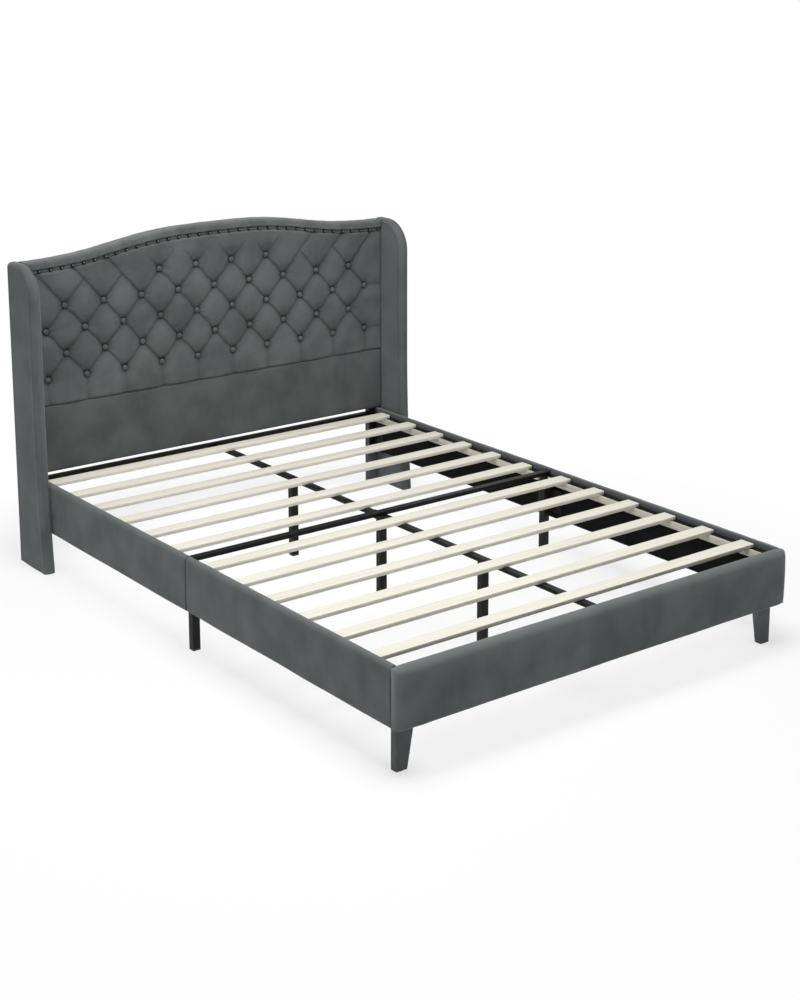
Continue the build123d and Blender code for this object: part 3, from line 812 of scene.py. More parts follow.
@dataclass
class Fold:
    """A sewn fold of the tufted pad, from one place to another on its front."""

    start: tuple[float, float]
    finish: tuple[float, float]
    start_share: float = 1.0
    finish_share: float = 1.0

    @property
    def crisp(self) -> bool:
        """Tells the crisp folds, which rise to the left, from the softer ones, which are wider and have less
        shade painted along them.
        """
        return (self.finish[0] - self.start[0]) * (self.finish[1] - self.start[1]) < 0


@dataclass
class Headboard:
    """The tufted pad, lower pad, border, trim, nails, buttons, sleeves and back cloth."""

    finishes: Finishes
    band: float = 26.5 * MM
    trim_drop: float = 39.5 * MM
    cover_wall: float = 1.6 * MM
    tuft_columns: int = 10
    tuft_rise: float = 82 * MM
    cells: int = 28
    cell_crowding: float = 0.32
    pillow_depth: float = 10.5 * MM
    pillow_reach: float = 54 * MM
    pillow_drop: float = 0.93
    fold_depth: float = 4.0 * MM
    fold_width_above: float = 2.4 * MM
    fold_width_below: float = 5.0 * MM
    fold_slack: float = 0.18
    fold_pull: tuple[float, float] = (0.88, 1.0)
    fold_spread: tuple[float, float] = (0.9, 1.15)
    soft_fold: float = 1.7
    crisp_fade: float = 0.5
    soft_fade: float = 0.68
    top_run: tuple[float, float] = (0.8, 0.0)
    outer_run: tuple[float, float] = (2.4, 0.75)
    inner_run: tuple[float, float] = (1.0, 0.6)
    side_fold: tuple[float, float] = (0.62, 0.35)
    low_fold: tuple[float, float] = (0.78, 0.34)
    seat_depth: float = 14 * MM
    seat_radius: float = 9 * MM
    seat_fade: float = 14 * MM
    pucker_depth: float = 0.8 * MM
    pucker_fade: float = 15 * MM
    wedge_depth: float = 2.2 * MM
    wedge_fade: float = 13 * MM
    slack_depth: float = 0.45 * MM
    crumple_depth: float = 0.5 * MM
    edge_roll: float = 9 * MM
    edge_light: float = 0.55
    edge_light_depth: float = 5 * MM
    wander: float = 1.1 * MM
    wander_waves: float = 40 * MM
    button_radius: float = 9.6 * MM
    button_rim: float = 2.0 * MM
    button_dome: float = 3.9 * MM
    button_edge: float = 0.7 * MM
    button_tilt: float = 0.06
    lower_radii: tuple[float, float] = (7 * MM, 9 * MM)
    lower_brim: float = 3.2 * MM
    lower_crown: float = 0.8 * MM
    lower_pulls: float = 0.5 * MM
    lower_slack: float = 0.55 * MM
    lower_setback: float = 0.5 * MM
    border_lip: float = 17 * MM
    border_radii: tuple[float, ...] = (4 * MM, 9 * MM, 9 * MM)
    border_sag: float = 0.9 * MM
    border_ripple: float = 0.35 * MM
    trim_inset: float = 0.4 * MM
    trim_radius: float = 1.5 * MM
    trim_puff: float = 0.9 * MM
    wing_shade: float = 0.9
    wing_shade_depth: float = 5 * MM
    nail_radius: float = 6.2 * MM
    nail_reach: float = 9 * MM
    nail_halo: float = 0.85
    nail_gap: float = 0.2 * MM
    nail_taper: float = 0.9
    nail_flare: float = 1.11
    nail_rim: float = 0.5 * MM
    back_wall: float = 1.0 * MM
    back_setback: float = 0.7 * MM
    back_swell: float = 0.5 * MM
    back_ripple: float = 0.35 * MM
    sleeve_corner: float = 4 * MM
    sleeve_setback: float = 0.4 * MM
    sleeve_slack: float = 0.3 * MM
    sleeve_wall: float = 1.2 * MM
    crest: Camelback = field(init=False)
    seats: list[np.ndarray] = field(init=False)

    def __post_init__(self) -> None:
        """Reads the places of the border, the pad and the buttons from the model."""
        low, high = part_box("top_border")
        self.crest = Camelback(high.x, high.z, low.z + self.band)
        self.seats = [points.mean(axis=0) for points in islands("tuft_buttons")]

    def build(self) -> None:
        """Builds every piece of the headboard."""
        self.tufted_pad()
        self.tuft_buttons()
        self.lower_pad()
        self.top_border()
        self.trim_band()
        self.nails()
        self.back_cloth()
        self.post_sleeves()

    # The tufted pad

    def folds(self) -> list[Fold]:
        """Works out the sewn folds between the buttons and out to the pad's edges."""
        step_x, step_z = self.crest.half_span / self.tuft_columns, self.tuft_rise
        first = min(s[2] for s in self.seats)
        spots = {(round(s[0] / step_x), round((s[2] - first) / step_z)): (s[0], s[2]) for s in self.seats}
        top = max(row for _, row in spots)
        folds = []
        for (column, row), (x, z) in spots.items():
            for lean in (-1, 1):
                above = spots.get((column + lean, row + 1))
                if above is not None:
                    folds.append(Fold((x, z), above))
                elif row >= top - 1:
                    outward = self.outer_run if lean * x > 0 else self.inner_run
                    run, left = self.top_run if row == top else outward
                    folds.append(Fold((x, z), (x + lean * run * step_x, z + run * step_z), 1.0, left))
            if abs(column) == self.tuft_columns - 1:
                folds.append(Fold((x, z), (math.copysign(self.crest.half_span, x), z), *self.side_fold))
            if row == 0:
                folds.append(Fold((x, z), (x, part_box("tufted_pad")[0].z), *self.low_fold))
        return folds

    def press_folds(
        self, x: np.ndarray, z: np.ndarray, rng: np.random.Generator
    ) -> tuple[np.ndarray, np.ndarray, np.ndarray]:
        """Presses the folds into the pad.

        Args:
            x: Distance from the bed's middle.
            z: Height.
            rng: Gives each fold its own pull and width.

        Returns:
            How full the pad stays, how sharply it is pressed, and how much shade is painted along the folds,
            each from 0 to 1.
        """
        full = np.ones_like(x)
        sharp, dark = np.zeros_like(x), np.zeros_like(x)
        for fold in self.folds():
            start, finish = np.array(fold.start), np.array(fold.finish)
            run = finish - start
            length = np.linalg.norm(run)
            along = ((x - start[0]) * run[0] + (z - start[1]) * run[1]) / length**2
            share = np.clip(along, 0, 1)
            off_x, off_z = x - start[0] - share * run[0], z - start[1] - share * run[1]
            distance = np.hypot(off_x, off_z)
            level = fold.start_share + (fold.finish_share - fold.start_share) * share
            slack = np.sin(math.pi * share)
            pull = level * (1 - self.fold_slack * slack) * rng.uniform(*self.fold_pull)
            width = np.where(off_z > 0, self.fold_width_above, self.fold_width_below)
            width = width * rng.uniform(*self.fold_spread)
            valley = np.exp(-distance / (width if fold.crisp else width * self.soft_fold))
            near = np.clip(1 - distance / self.pillow_reach, 0, 1) ** 2
            # Painted shade along each fold: weaker midway, and weaker on the softer folds that rise to the
            # right.
            fade = self.crisp_fade if fold.crisp else self.soft_fade
            full = full * (1 - pull * near * self.pillow_drop)
            sharp = np.maximum(sharp, pull * valley)
            dark = np.maximum(dark, level * (1 - fade * slack**0.6) * valley)
        return full, sharp, dark

    def press_seats(
        self, x: np.ndarray, z: np.ndarray, rng: np.random.Generator
    ) -> tuple[np.ndarray, np.ndarray, np.ndarray]:
        """Presses the buttons' seats into the pad.

        Args:
            x: Distance from the bed's middle.
            z: Height.
            rng: Gives each button its own puckers.

        Returns:
            The seats from 0 to 1, the depth of the puckers round them, and the wedges of slack cloth
            above them.
        """
        seat, star, wedge = np.zeros_like(x), np.zeros_like(x), np.zeros_like(x)
        for spot in self.seats:
            radius = np.hypot(x - spot[0], z - spot[2])
            angle = np.arctan2(z - spot[2], x - spot[0])
            free = radius > self.seat_radius
            outside = np.maximum(radius - self.seat_radius, 0)
            seat = np.maximum(seat, np.exp(-((outside / self.seat_fade) ** 1.15)))
            count, phase = rng.integers(8, 12), rng.uniform(0, 6)
            rays = np.cos(count * angle + phase) * np.exp(-outside / self.pucker_fade) * free
            star = star + self.pucker_depth * rays
            upward = np.clip((np.sin(angle) - 0.62) / 0.3, 0, 1) * free
            wedge = np.maximum(wedge, upward * np.exp(-outside / self.wedge_fade) * rng.uniform(0.6, 1.0))
        return seat, star, wedge

    def tuft_depth(self, x: np.ndarray, z: np.ndarray) -> tuple[np.ndarray, np.ndarray]:
        """Gives how far the tufted cloth lies behind its front plane.

        Args:
            x: Distance from the bed's middle.
            z: Height.

        Returns:
            The depth, and how much shade is painted at each point, from 0 to 1.
        """
        rng = np.random.default_rng(SEED)
        off_x = self.wander * unevenness(x, z, self.wander_waves, 12)
        off_z = self.wander * unevenness(x, z, self.wander_waves, 13)
        x, z = x + off_x, z + off_z
        full, sharp, dark = self.press_folds(x, z, rng)
        seat, star, wedge = self.press_seats(x, z, rng)
        pillow = self.pillow_depth * (1 - full) + self.fold_depth * sharp
        depth = (pillow**5 + (self.seat_depth * seat) ** 5) ** 0.2
        depth = np.minimum(depth, self.seat_depth) + star * (seat < 0.97) + self.wedge_depth * wedge
        depth = depth + self.slack_depth * unevenness(x, z, 60 * MM, 1) * full
        crumpled = np.clip(1 - full, 0, 1) * (seat < 0.9)
        depth = depth + self.crumple_depth * unevenness(x, z, 17 * MM, 9) * crumpled
        # Painted shade: dark along the folds, round the button seats and in the wedges above them.
        crease = np.clip(1.15 * dark**0.8 * (dark > 0.02) + 0.7 * seat**3.2 + 0.7 * wedge, 0, 1)
        return depth, crease

    def crowded(self, count: np.ndarray) -> np.ndarray:
        """Turns a count of net cells into rows of tufts, with closer cells near the buttons."""
        place = count / self.cells
        return place - self.cell_crowding * np.sin(2 * math.pi * place) / (2 * math.pi)

    def tufted_pad(self) -> None:
        """Builds the diamond tufted pad on a net that follows its folds."""
        low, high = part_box("tufted_pad")
        half, roll = self.crest.half_span, self.edge_roll
        first_row = min(s[2] for s in self.seats)
        cell_x, cell_z = half / self.tuft_columns / self.cells, self.tuft_rise / self.cells
        turn = np.linspace(0, math.pi / 2, 8)[1:]
        counts = np.arange(-self.tuft_columns * self.cells, self.tuft_columns * self.cells + 1)
        inner = self.crowded(counts) * half / self.tuft_columns
        inner = inner[np.abs(inner) < half - roll - cell_x / 3]
        edge = half - roll * (1 - np.sin(turn))
        columns = np.concatenate([-edge[::-1], [roll - half], inner, [half - roll], edge])
        below = np.linspace(low.z + roll, first_row, round((first_row - low.z - roll) / cell_z) + 1)
        cells_above = np.arange(1, math.ceil((high.z - first_row) / cell_z))
        above = first_row + self.tuft_rise * self.crowded(cells_above)
        start = low.z + roll * (1 - np.sin(turn))[::-1]
        top = self.crest.height(columns) - self.trim_drop
        body = np.minimum(np.concatenate([below, above])[:, None], (top - roll)[None, :])
        start_rows = np.repeat(start[:, None], len(columns), axis=1)
        end_rows = (top - roll)[None, :] + roll * np.sin(turn)[:, None]
        z = np.concatenate([start_rows, body, end_rows])
        x = np.repeat(columns[None, :], len(z), axis=0)
        depth, crease = self.tuft_depth(x, z)
        rows_back, columns_back = self.rolled_back(len(z), turn), self.rolled_back(len(columns), turn)
        drawn = (rows_back[:, None] ** 3 + columns_back[None, :] ** 3) ** (1 / 3)
        # Painted shade along the pad's rolled sides, where it meets the wings.
        crease = np.maximum(crease, np.clip(columns_back[None, :] / roll * 3, 0, 1))
        y = low.y + depth + drawn * (1 - 0.55 * depth / self.seat_depth)
        # Painted highlight along the pad's top roll, just under the trim.
        rim = np.clip((z - top[None, :] + self.edge_light_depth) / self.edge_light_depth, 0, 1)
        centre = (0, high.y, (low.z + high.z) / 2)
        net = np.stack([x, y, z], axis=-1)
        piece = loft("tufted_pad_velvet", net, centre, crease=crease, light=self.edge_light * rim)
        self.close_back(piece, high.y)
        smooth(piece, 60)
        dress(piece, [self.finishes.tufted], ["tufted_pad"])

    def rolled_back(self, count: int, turn: np.ndarray) -> np.ndarray:
        """Gives how far the edges of the pad's net are rolled back.

        Args:
            count: The net's rows or columns.
            turn: The angles of the edge's arc.

        Returns:
            The step back of each row or column, nothing but near the two edges.
        """
        back = np.zeros(count)
        back[: len(turn)] = self.edge_roll * (1 - np.cos(turn))[::-1]
        back[-len(turn) :] = self.edge_roll * (1 - np.cos(turn))
        return back

    @staticmethod
    def close_back(piece: bpy.types.Object, back: float) -> None:
        """Draws the pad's open edge straight back to a plane and closes it there.

        Args:
            piece: The pad's front.
            back: The plane's place along Y.
        """
        with editing(piece, Element.EDGE):
            bpy.ops.mesh.select_non_manifold(
                extend=False,
                use_wire=False,
                use_multi_face=False,
                use_non_contiguous=False,
                use_verts=False,
            )
            bpy.ops.mesh.extrude_edges_move()
            mesh = bmesh.from_edit_mesh(piece.data)
            for vert in mesh.verts:
                if vert.select:
                    vert.co.y = back
            bmesh.update_edit_mesh(piece.data)
            bpy.ops.mesh.edge_face_add()
            bpy.ops.mesh.select_all(action="SELECT")
            bpy.ops.mesh.normals_make_consistent(inside=False)

    def tuft_buttons(self) -> None:
        """Builds one covered button by hand and sets a copy on every seat."""
        seat_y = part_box("tuft_buttons")[1].y
        radius, rim = self.button_radius, self.button_rim
        rings = ((0.7, 0.9), (1.1, 1.0), (1.6, 0.95), (2.0, 0.7), (2.0, 0.4), (1.6, 0.15))
        whole_rise = sum(rise for _, rise in rings)
        deselect_all()
        bpy.ops.mesh.primitive_cylinder_add(vertices=28, radius=radius, depth=rim, location=(0, 0, rim / 2))
        button = settle(bpy.context.object, "button_pattern")

        def on_rim(edge: bmesh.types.BMEdge) -> bool:
            """Tells the level edges round the button's underside and round its rim."""
            level = abs(edge.verts[0].co.z - edge.verts[1].co.z) < 1e-7
            at_rim = abs(middle(edge).z - rim) < 0.05 * MM and middle(edge).xy.length > 0.9 * radius
            return middle(edge).z < 0.05 * MM or (level and at_rim)

        with editing(button, Element.FACE):
            choose(button, Element.FACE, lambda f: f.normal.z > 0.9)
            for inset, rise in rings:
                bpy.ops.mesh.inset(thickness=inset * MM, depth=0)
                bpy.ops.transform.translate(value=(0, 0, rise / whole_rise * self.button_dome))
            bpy.ops.mesh.select_mode(type="EDGE")
            choose(button, Element.EDGE, on_rim)
            bpy.ops.mesh.bevel(offset=self.button_edge, segments=2, affect="EDGES")
        turn = Matrix.Rotation(math.radians(90), 4, "X")
        copies = []
        for spot in self.seats:
            tilt = Matrix.Rotation(self.button_tilt * math.sin(50 * spot[0] + 31 * spot[2]), 4, "X")
            seat = Matrix.Translation((spot[0], seat_y - 0.2 * MM, spot[2]))
            copies.append(copy_to(button, seat @ tilt @ turn))
        remove(button)
        piece = join(copies, "tuft_buttons_velvet")
        smooth(piece, 50)
        dress(piece, [self.finishes.velvet], ["tuft_buttons"])

    # The plain pads and the border

    def lower_pad(self) -> None:
        """Builds the plain pad below the seam, slightly crowned, with soft pulls along its edges."""
        low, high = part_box("lower_pad")
        corners = [(high.y, low.z), (low.y, low.z), (low.y, high.z), (high.y, high.z)]
        section = refined(rounded(corners, self.lower_radii), 6 * MM)
        x = np.linspace(low.x, high.x, 181)
        tall = (section[:, 1] - low.z) / (high.z - low.z)
        front = np.clip(1 - (section[:, 0] - low.y) / (7 * MM), 0, 1)
        crown = (self.lower_brim * (2 * tall - 1) ** 4 + self.lower_crown * (2 * tall - 1) ** 2) * front
        xs, zs = np.meshgrid(x, section[:, 1], indexing="ij")
        pulls = self.lower_pulls * unevenness(xs, zs * 0.3, 48 * MM, 2) * (2 * tall - 1)[None, :] ** 2
        slack = self.lower_slack * unevenness(xs, zs, 210 * MM, 3)
        ys = section[None, :, 0] + crown[None, :] + (pulls + slack) * front[None, :]
        ys = ys + self.lower_setback * front[None, :]
        rings = np.stack([xs, ys, zs], axis=-1)
        # Painted shade where the pad meets the wings.
        shade = self.end_shade(x, len(section))
        centre = (0, high.y, (low.z + high.z) / 2)
        piece = loft("lower_pad_velvet", rings, centre, around=True, caps=True, crease=shade)
        smooth(piece, 50)
        dress(piece, [self.finishes.velvet], ["lower_pad"])

    def end_shade(self, x: np.ndarray, count: int) -> np.ndarray:
        """Gives the painted shade where a piece meets the wings, for each station and point."""
        gap = self.crest.half_span - np.abs(x)
        return np.tile(self.wing_shade * np.exp(-gap / self.wing_shade_depth)[:, None], (1, count))

    def along_crest(
        self,
        name: str,
        section: np.ndarray,
        lift: np.ndarray,
        closed: bool,
        shade: np.ndarray | float = 0.0,
    ) -> bpy.types.Object:
        """Sweeps a section along the camelback line.

        Args:
            name: The piece's name.
            section: Places of the section as Y and the drop below the top line.
            lift: How far each point of each station stands proud, as (stations, points).
            closed: Whether the section closes on itself.
            shade: How much shade is painted at each point.

        Returns:
            The new piece.
        """
        half = self.crest.half_span
        x = np.linspace(-half, half, lift.shape[0])
        out = normals_of(section)
        y = section[None, :, 0] + lift * out[None, :, 0]
        drop = section[None, :, 1] + lift * out[None, :, 1]
        z = self.crest.height(x)[:, None] - drop
        rings = np.stack([np.repeat(x[:, None], len(section), 1), y, z], axis=-1)
        inside_y = (section[:, 0].min() + section[:, 0].max()) / 2
        # Painted shade where the piece meets the wings, and any shade that is passed in.
        crease = np.maximum(self.end_shade(x, len(section)), shade)
        centre = (0, inside_y, self.crest.peak - self.band)
        return loft(name, rings, centre, around=closed, caps=closed, crease=crease)

    def top_border(self) -> None:
        """Builds the rolled border that goes over the headboard's top."""
        low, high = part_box("top_border")
        lip = low.y + self.border_lip
        corners = [(lip, self.band), (low.y, self.band), (low.y, 0), (high.y, 0), (high.y, self.band)]
        section = refined(rounded(corners, self.border_radii, 9), 4 * MM)
        x = np.linspace(-self.crest.half_span, self.crest.half_span, 241)
        reach = np.concatenate([[0], np.cumsum(np.linalg.norm(np.diff(section, axis=0), axis=1))])
        xs, ts = np.meshgrid(x, reach, indexing="ij")
        belly = self.border_sag * np.sin(math.pi * np.clip((reach - 16 * MM) / (75 * MM), 0, 1))
        ripple = self.border_ripple * unevenness(xs, ts * 0.5, 55 * MM, 4) * (reach > 14 * MM)[None, :]
        lift = -(belly[None, :] + ripple)
        piece = self.along_crest("top_border_velvet", section, lift, closed=False)
        thicken(piece, self.cover_wall)
        smooth(piece, 50)
        dress(piece, [self.finishes.border], ["top_border"])

    def trim_band(self) -> None:
        """Builds the narrow band that the nails go through, drawn in at each nail, with painted shadow round
        each nail.
        """
        low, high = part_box("trim_strip")
        top, bottom = self.band + self.trim_inset, self.trim_drop - self.trim_inset
        corners = [(high.y, top), (low.y, top), (low.y, bottom), (high.y, bottom)]
        section = refined(rounded(corners, [self.trim_radius] * 2, 3), 2 * MM)
        x = np.linspace(-self.crest.half_span, self.crest.half_span, 481)
        nails = np.array([points.mean(axis=0)[0] for points in islands("nail_trim")])
        gap = np.abs(x[:, None] - nails[None, :]).min(axis=1)
        front = (section[:, 0] < low.y + 1 * MM).astype(float)
        puff = self.trim_puff * (1 - np.exp(-((gap / self.nail_reach) ** 2)))
        lift = -front[None, :] * puff[:, None]
        # Painted shadow on the band round each nail.
        nail_shadow_paint = np.tile(self.nail_halo * np.exp(-((gap / self.nail_reach) ** 4))[:, None], (1, len(section)))
        piece = self.along_crest("trim_band_velvet", section, lift, closed=True, shade=nail_shadow_paint)
        smooth(piece, 50)
        dress(piece, [self.finishes.trim], ["trim_strip"])

    def nails(self) -> None:
        """Builds one domed nail head by hand and sets a copy at each nail of the model."""
        low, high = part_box("nail_trim")
        radius, dome = self.nail_radius, high.y - low.y - self.nail_gap
        deselect_all()
        bpy.ops.mesh.primitive_uv_sphere_add(segments=20, ring_count=14, radius=radius, location=(0, 0, 0))
        nail = settle(bpy.context.object, "nail_pattern")
        with editing(nail, Element.VERT):
            bpy.ops.mesh.select_all(action="SELECT")
            bpy.ops.mesh.bisect(plane_co=(0, 0, 0), plane_no=(0, 0, 1), use_fill=True, clear_inner=True)
            bpy.ops.mesh.select_all(action="SELECT")
            bpy.ops.transform.resize(value=(self.nail_taper, self.nail_taper, dome / radius))
            bpy.ops.mesh.select_mode(type="FACE")
            choose(nail, Element.FACE, lambda f: f.normal.z < -0.9)
            bpy.ops.transform.resize(value=(self.nail_flare, self.nail_flare, 1.0))
            bpy.ops.mesh.inset(thickness=self.nail_rim, depth=0)
        # Painted highlight on the crown of each nail head.
        crown = [max(0.0, 1 - (vert.co.xy.length / (0.5 * radius)) ** 2) for vert in nail.data.vertices]
        nail.data.attributes.new("light", "FLOAT", "POINT").data.foreach_set("value", crown)
        turn = Matrix.Rotation(math.radians(90), 4, "X")
        copies = []
        for points in islands("nail_trim"):
            x, _, z = (points.min(axis=0) + points.max(axis=0)) / 2
            copies.append(copy_to(nail, Matrix.Translation((x, high.y, z)) @ turn))
        remove(nail)
        piece = join(copies, "nail_heads")
        smooth(piece, 35)
        dress(piece, [self.finishes.nail], ["nail_trim"])

    # The back and the posts

    def back_cloth(self) -> None:
        """Builds the cloth stretched over the headboard's back."""
        low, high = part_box("back_cover")
        x = np.linspace(low.x, high.x, 121)
        share = np.linspace(0, 1, 61)
        top = self.crest.height(x) - self.band - 0.3 * MM
        z = low.z + share[None, :] * (top - low.z)[:, None]
        xs = np.repeat(x[:, None], len(share), axis=1)
        from_rims = np.minimum(np.minimum(share, 1 - share)[None, :] * 8, 1)
        from_rims = from_rims * np.minimum((high.x - np.abs(x))[:, None] / (60 * MM), 1)
        ripple = self.back_ripple * unevenness(xs, z, 170 * MM, 5) * from_rims
        y = high.y - self.back_setback - self.back_swell * from_rims + ripple
        piece = loft("back_cloth", np.stack([xs, y, z], axis=-1), (0, low.y - 0.1, (low.z + high.z) / 2))
        thicken(piece, self.back_wall)
        smooth(piece, 50)
        dress(piece, [self.finishes.velvet], ["back_cover"])

    def post_sleeves(self) -> None:
        """Builds the cloth sleeves on the posts below the headboard."""
        sleeves = []
        for points in islands("post_covers"):
            (x0, y0, z0), (x1, y1, z1) = points.min(axis=0), points.max(axis=0)
            corners = [((x0 + x1) / 2, y0), (x1, y0), (x1, y1), (x0, y1), (x0, y0), ((x0 + x1) / 2, y0)]
            section = refined(rounded(corners, [self.sleeve_corner] * 4, 5), 6 * MM)[:-1]
            z = np.linspace(z0, z1, 44)
            away = section - section.mean(axis=0)
            away /= np.linalg.norm(away, axis=1, keepdims=True)
            turn = np.arctan2(away[:, 1], away[:, 0])
            slack = self.sleeve_slack * unevenness(z[:, None], turn[None, :] * 0.02, 45 * MM, 6)
            places = section[None] - away[None] * (self.sleeve_setback + np.abs(slack))[..., None]
            rings = np.concatenate([places, np.repeat(z[:, None, None], len(section), 1)], axis=-1)
            centre = ((x0 + x1) / 2, (y0 + y1) / 2, (z0 + z1) / 2)
            sleeve = loft("post_sleeve", rings, centre, around=True)
            thicken(sleeve, self.sleeve_wall)
            sleeves.append(sleeve)
        piece = join(sleeves, "post_sleeves_velvet")
        smooth(piece, 50)
        dress(piece, [self.finishes.velvet], ["post_covers"])


# The wings


@dataclass
class Wings:
    """The two padded wings beside the headboard."""

    finishes: Finishes
    corner: float = 110 * MM
    edge: float = 15 * MM
    flare_height: float = 555 * MM
    toe: float = 24 * MM
    seam_in: float = 17 * MM
    seam_depth: float = 0.9 * MM
    seam_width: float = 1.6 * MM
    back_edge: float = 18 * MM
    spine_back: float = 20 * MM
    spine_drop_share: float = 1.05
    crown_depth: float = 1.6 * MM
    crown_reach: float = 70 * MM
    ripple_depth: float = 0.45 * MM
    ripple_waves: float = 120 * MM
    edge_ripple_share: float = 0.15
    inner_light: float = 0.34
    inner_edge_share: float = 0.4
    cover_wall: float = 1.6 * MM

    def outline(self, low: Vector, high: Vector) -> tuple[np.ndarray, np.ndarray]:
        """Gives the wing's side outline and, for each point, its place on the middle line.

        Args:
            low: The wing's lowest corner.
            high: Its highest corner.

        Returns:
            The outline as Y and Z, from the floor in front over the top to the floor behind, and the
            matching places on the middle line.
        """
        front = low.y + self.toe
        rise = self.flare_height - low.z
        swing = (rise**2 + self.toe**2) / (2 * self.toe)
        angles = np.linspace(math.asin(rise / swing), 0, 34)
        toe_y = front - swing * (1 - np.cos(angles))
        toe_path = np.stack([toe_y, self.flare_height - swing * np.sin(angles)], 1)
        straight_z = np.linspace(self.flare_height, high.z - self.corner, 25)[1:]
        straight = np.stack([np.full(24, front), straight_z], 1)
        sweep = np.linspace(0, math.pi / 2, 25)[1:]
        centre = (front + self.corner, high.z - self.corner)
        arc = np.array(centre) + self.corner * np.stack([-np.cos(sweep), np.sin(sweep)], 1)
        back_radius = self.back_edge
        top = np.stack([np.linspace(centre[0], high.y - back_radius, 10)[1:], np.full(9, high.z)], 1)
        small = np.linspace(0, math.pi / 2, 7)[1:]
        turned = np.stack([np.sin(small), np.cos(small)], 1)
        back_arc = np.array([high.y - back_radius, high.z - back_radius]) + back_radius * turned
        back = np.stack([np.full(60, high.y), np.linspace(high.z - back_radius, low.z, 61)[1:]], 1)
        path = np.concatenate([toe_path, straight, arc, top, back_arc, back])
        spine_top = high.z - self.spine_drop_share * self.corner
        spine_y = (front + high.y) / 2 + self.spine_back
        spine = np.stack([np.full(len(path), spine_y), np.minimum(path[:, 1], spine_top)], 1)
        return path, spine

    def build(self) -> None:
        """Builds both wings."""
        for side in Side:
            self.wing(side)

    def section(self, width: float) -> list[tuple[bool, float, float]]:
        """Gives the places of a section from one flat side over the edge to the other.

        Args:
            width: The wing's width.

        Returns:
            For each place: whether it lies on a flat side, how far in it lies, and how far across. On a
            flat side the way in is a share of the way to the middle line, and on the edge it is a length.
        """
        side = [(True, 1 - share, 0.0) for share in np.linspace(0, 1, 13)[:-1]]
        angles = np.linspace(0, math.pi / 2, 7)
        arc = [(False, self.edge * (1 - math.sin(a)), self.edge * (1 - math.cos(a))) for a in angles]
        front = [(False, 0.0, place) for place in np.linspace(self.edge, width - self.edge, 7)[1:-1]]
        far_side = [(flat, inward, width - place) for flat, inward, place in (side + arc)[::-1]]
        return side + arc + front + far_side

    def wing(self, side: Side) -> None:
        """Builds one wing's padded cover, with a seam along each long edge."""
        node = f"wing_cover_{side.word}"
        low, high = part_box(node)
        path, spine = self.outline(low, high)
        normal = normals_of(path)
        normal = normal * np.sign((normal * (spine - path)).sum(axis=1, keepdims=True))
        shoulder = path + normal * self.edge
        width = high.x - low.x
        section = self.section(width)
        rings = np.zeros((len(path), len(section), 3))
        light = np.zeros((len(path), len(section)))
        for k, (flat, inward, place) in enumerate(section):
            points = shoulder + (spine - shoulder) * inward if flat else path + normal * inward
            from_edge = np.linalg.norm(points - path, axis=1)
            seam = self.seam_depth * np.exp(-(((from_edge - self.seam_in) / self.seam_width) ** 2))
            waves = unevenness(points[:, 0], points[:, 1] * 0.55, self.ripple_waves, 7 + side.value)
            proud = self.ripple_depth * waves * self.edge_ripple_share - seam
            if flat:
                share = np.clip(from_edge / (20 * MM), self.edge_ripple_share, 1)
                ripple = self.ripple_depth * waves * share
                swell = np.clip((from_edge - self.seam_in) / self.crown_reach, 0, 1) ** 0.7
                proud = ripple - seam + self.crown_depth * (swell - 1)
            outward = -1 if place < width / 2 else 1
            # Painted light: the side facing the bed is made lighter than the outer side.
            if outward != side.value:
                light[:, k] = self.inner_light * (1.0 if flat else self.inner_edge_share)
            rings[:, k, 0] = low.x + place + outward * proud
            rings[:, k, 1:] = points
        centre = ((low.x + high.x) / 2, (low.y + high.y) / 2 + self.spine_back, (low.z + high.z) / 2)
        piece = loft(f"wing_{side.word}_velvet", rings, centre, light=light)
        thicken(piece, self.cover_wall)
        smooth(piece, 50)
        dress(piece, [self.finishes.velvet], [node])


# Side rails and foot panel


def ease_edges(piece: bpy.types.Object, width: float, segments: int) -> None:
    """Takes the sharp edges off a piece.

    Args:
        piece: The piece.
        width: How far from the edge the rounding starts.
        segments: The flats that make up the rounding.
    """
    angle = math.radians(60)
    apply_modifier(piece, "BEVEL", width=width, segments=segments, limit_method="ANGLE", angle_limit=angle)


def covered_board(node: str, finish: Finish) -> None:
    """Builds the board inside a cover, with its edges taken off so that they don't press through."""
    board = add_block(f"{node}_wood", *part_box(node))
    ease_edges(board, BOARD_EDGE, 3)
    smooth(board, 40)
    dress(board, [finish], [node])


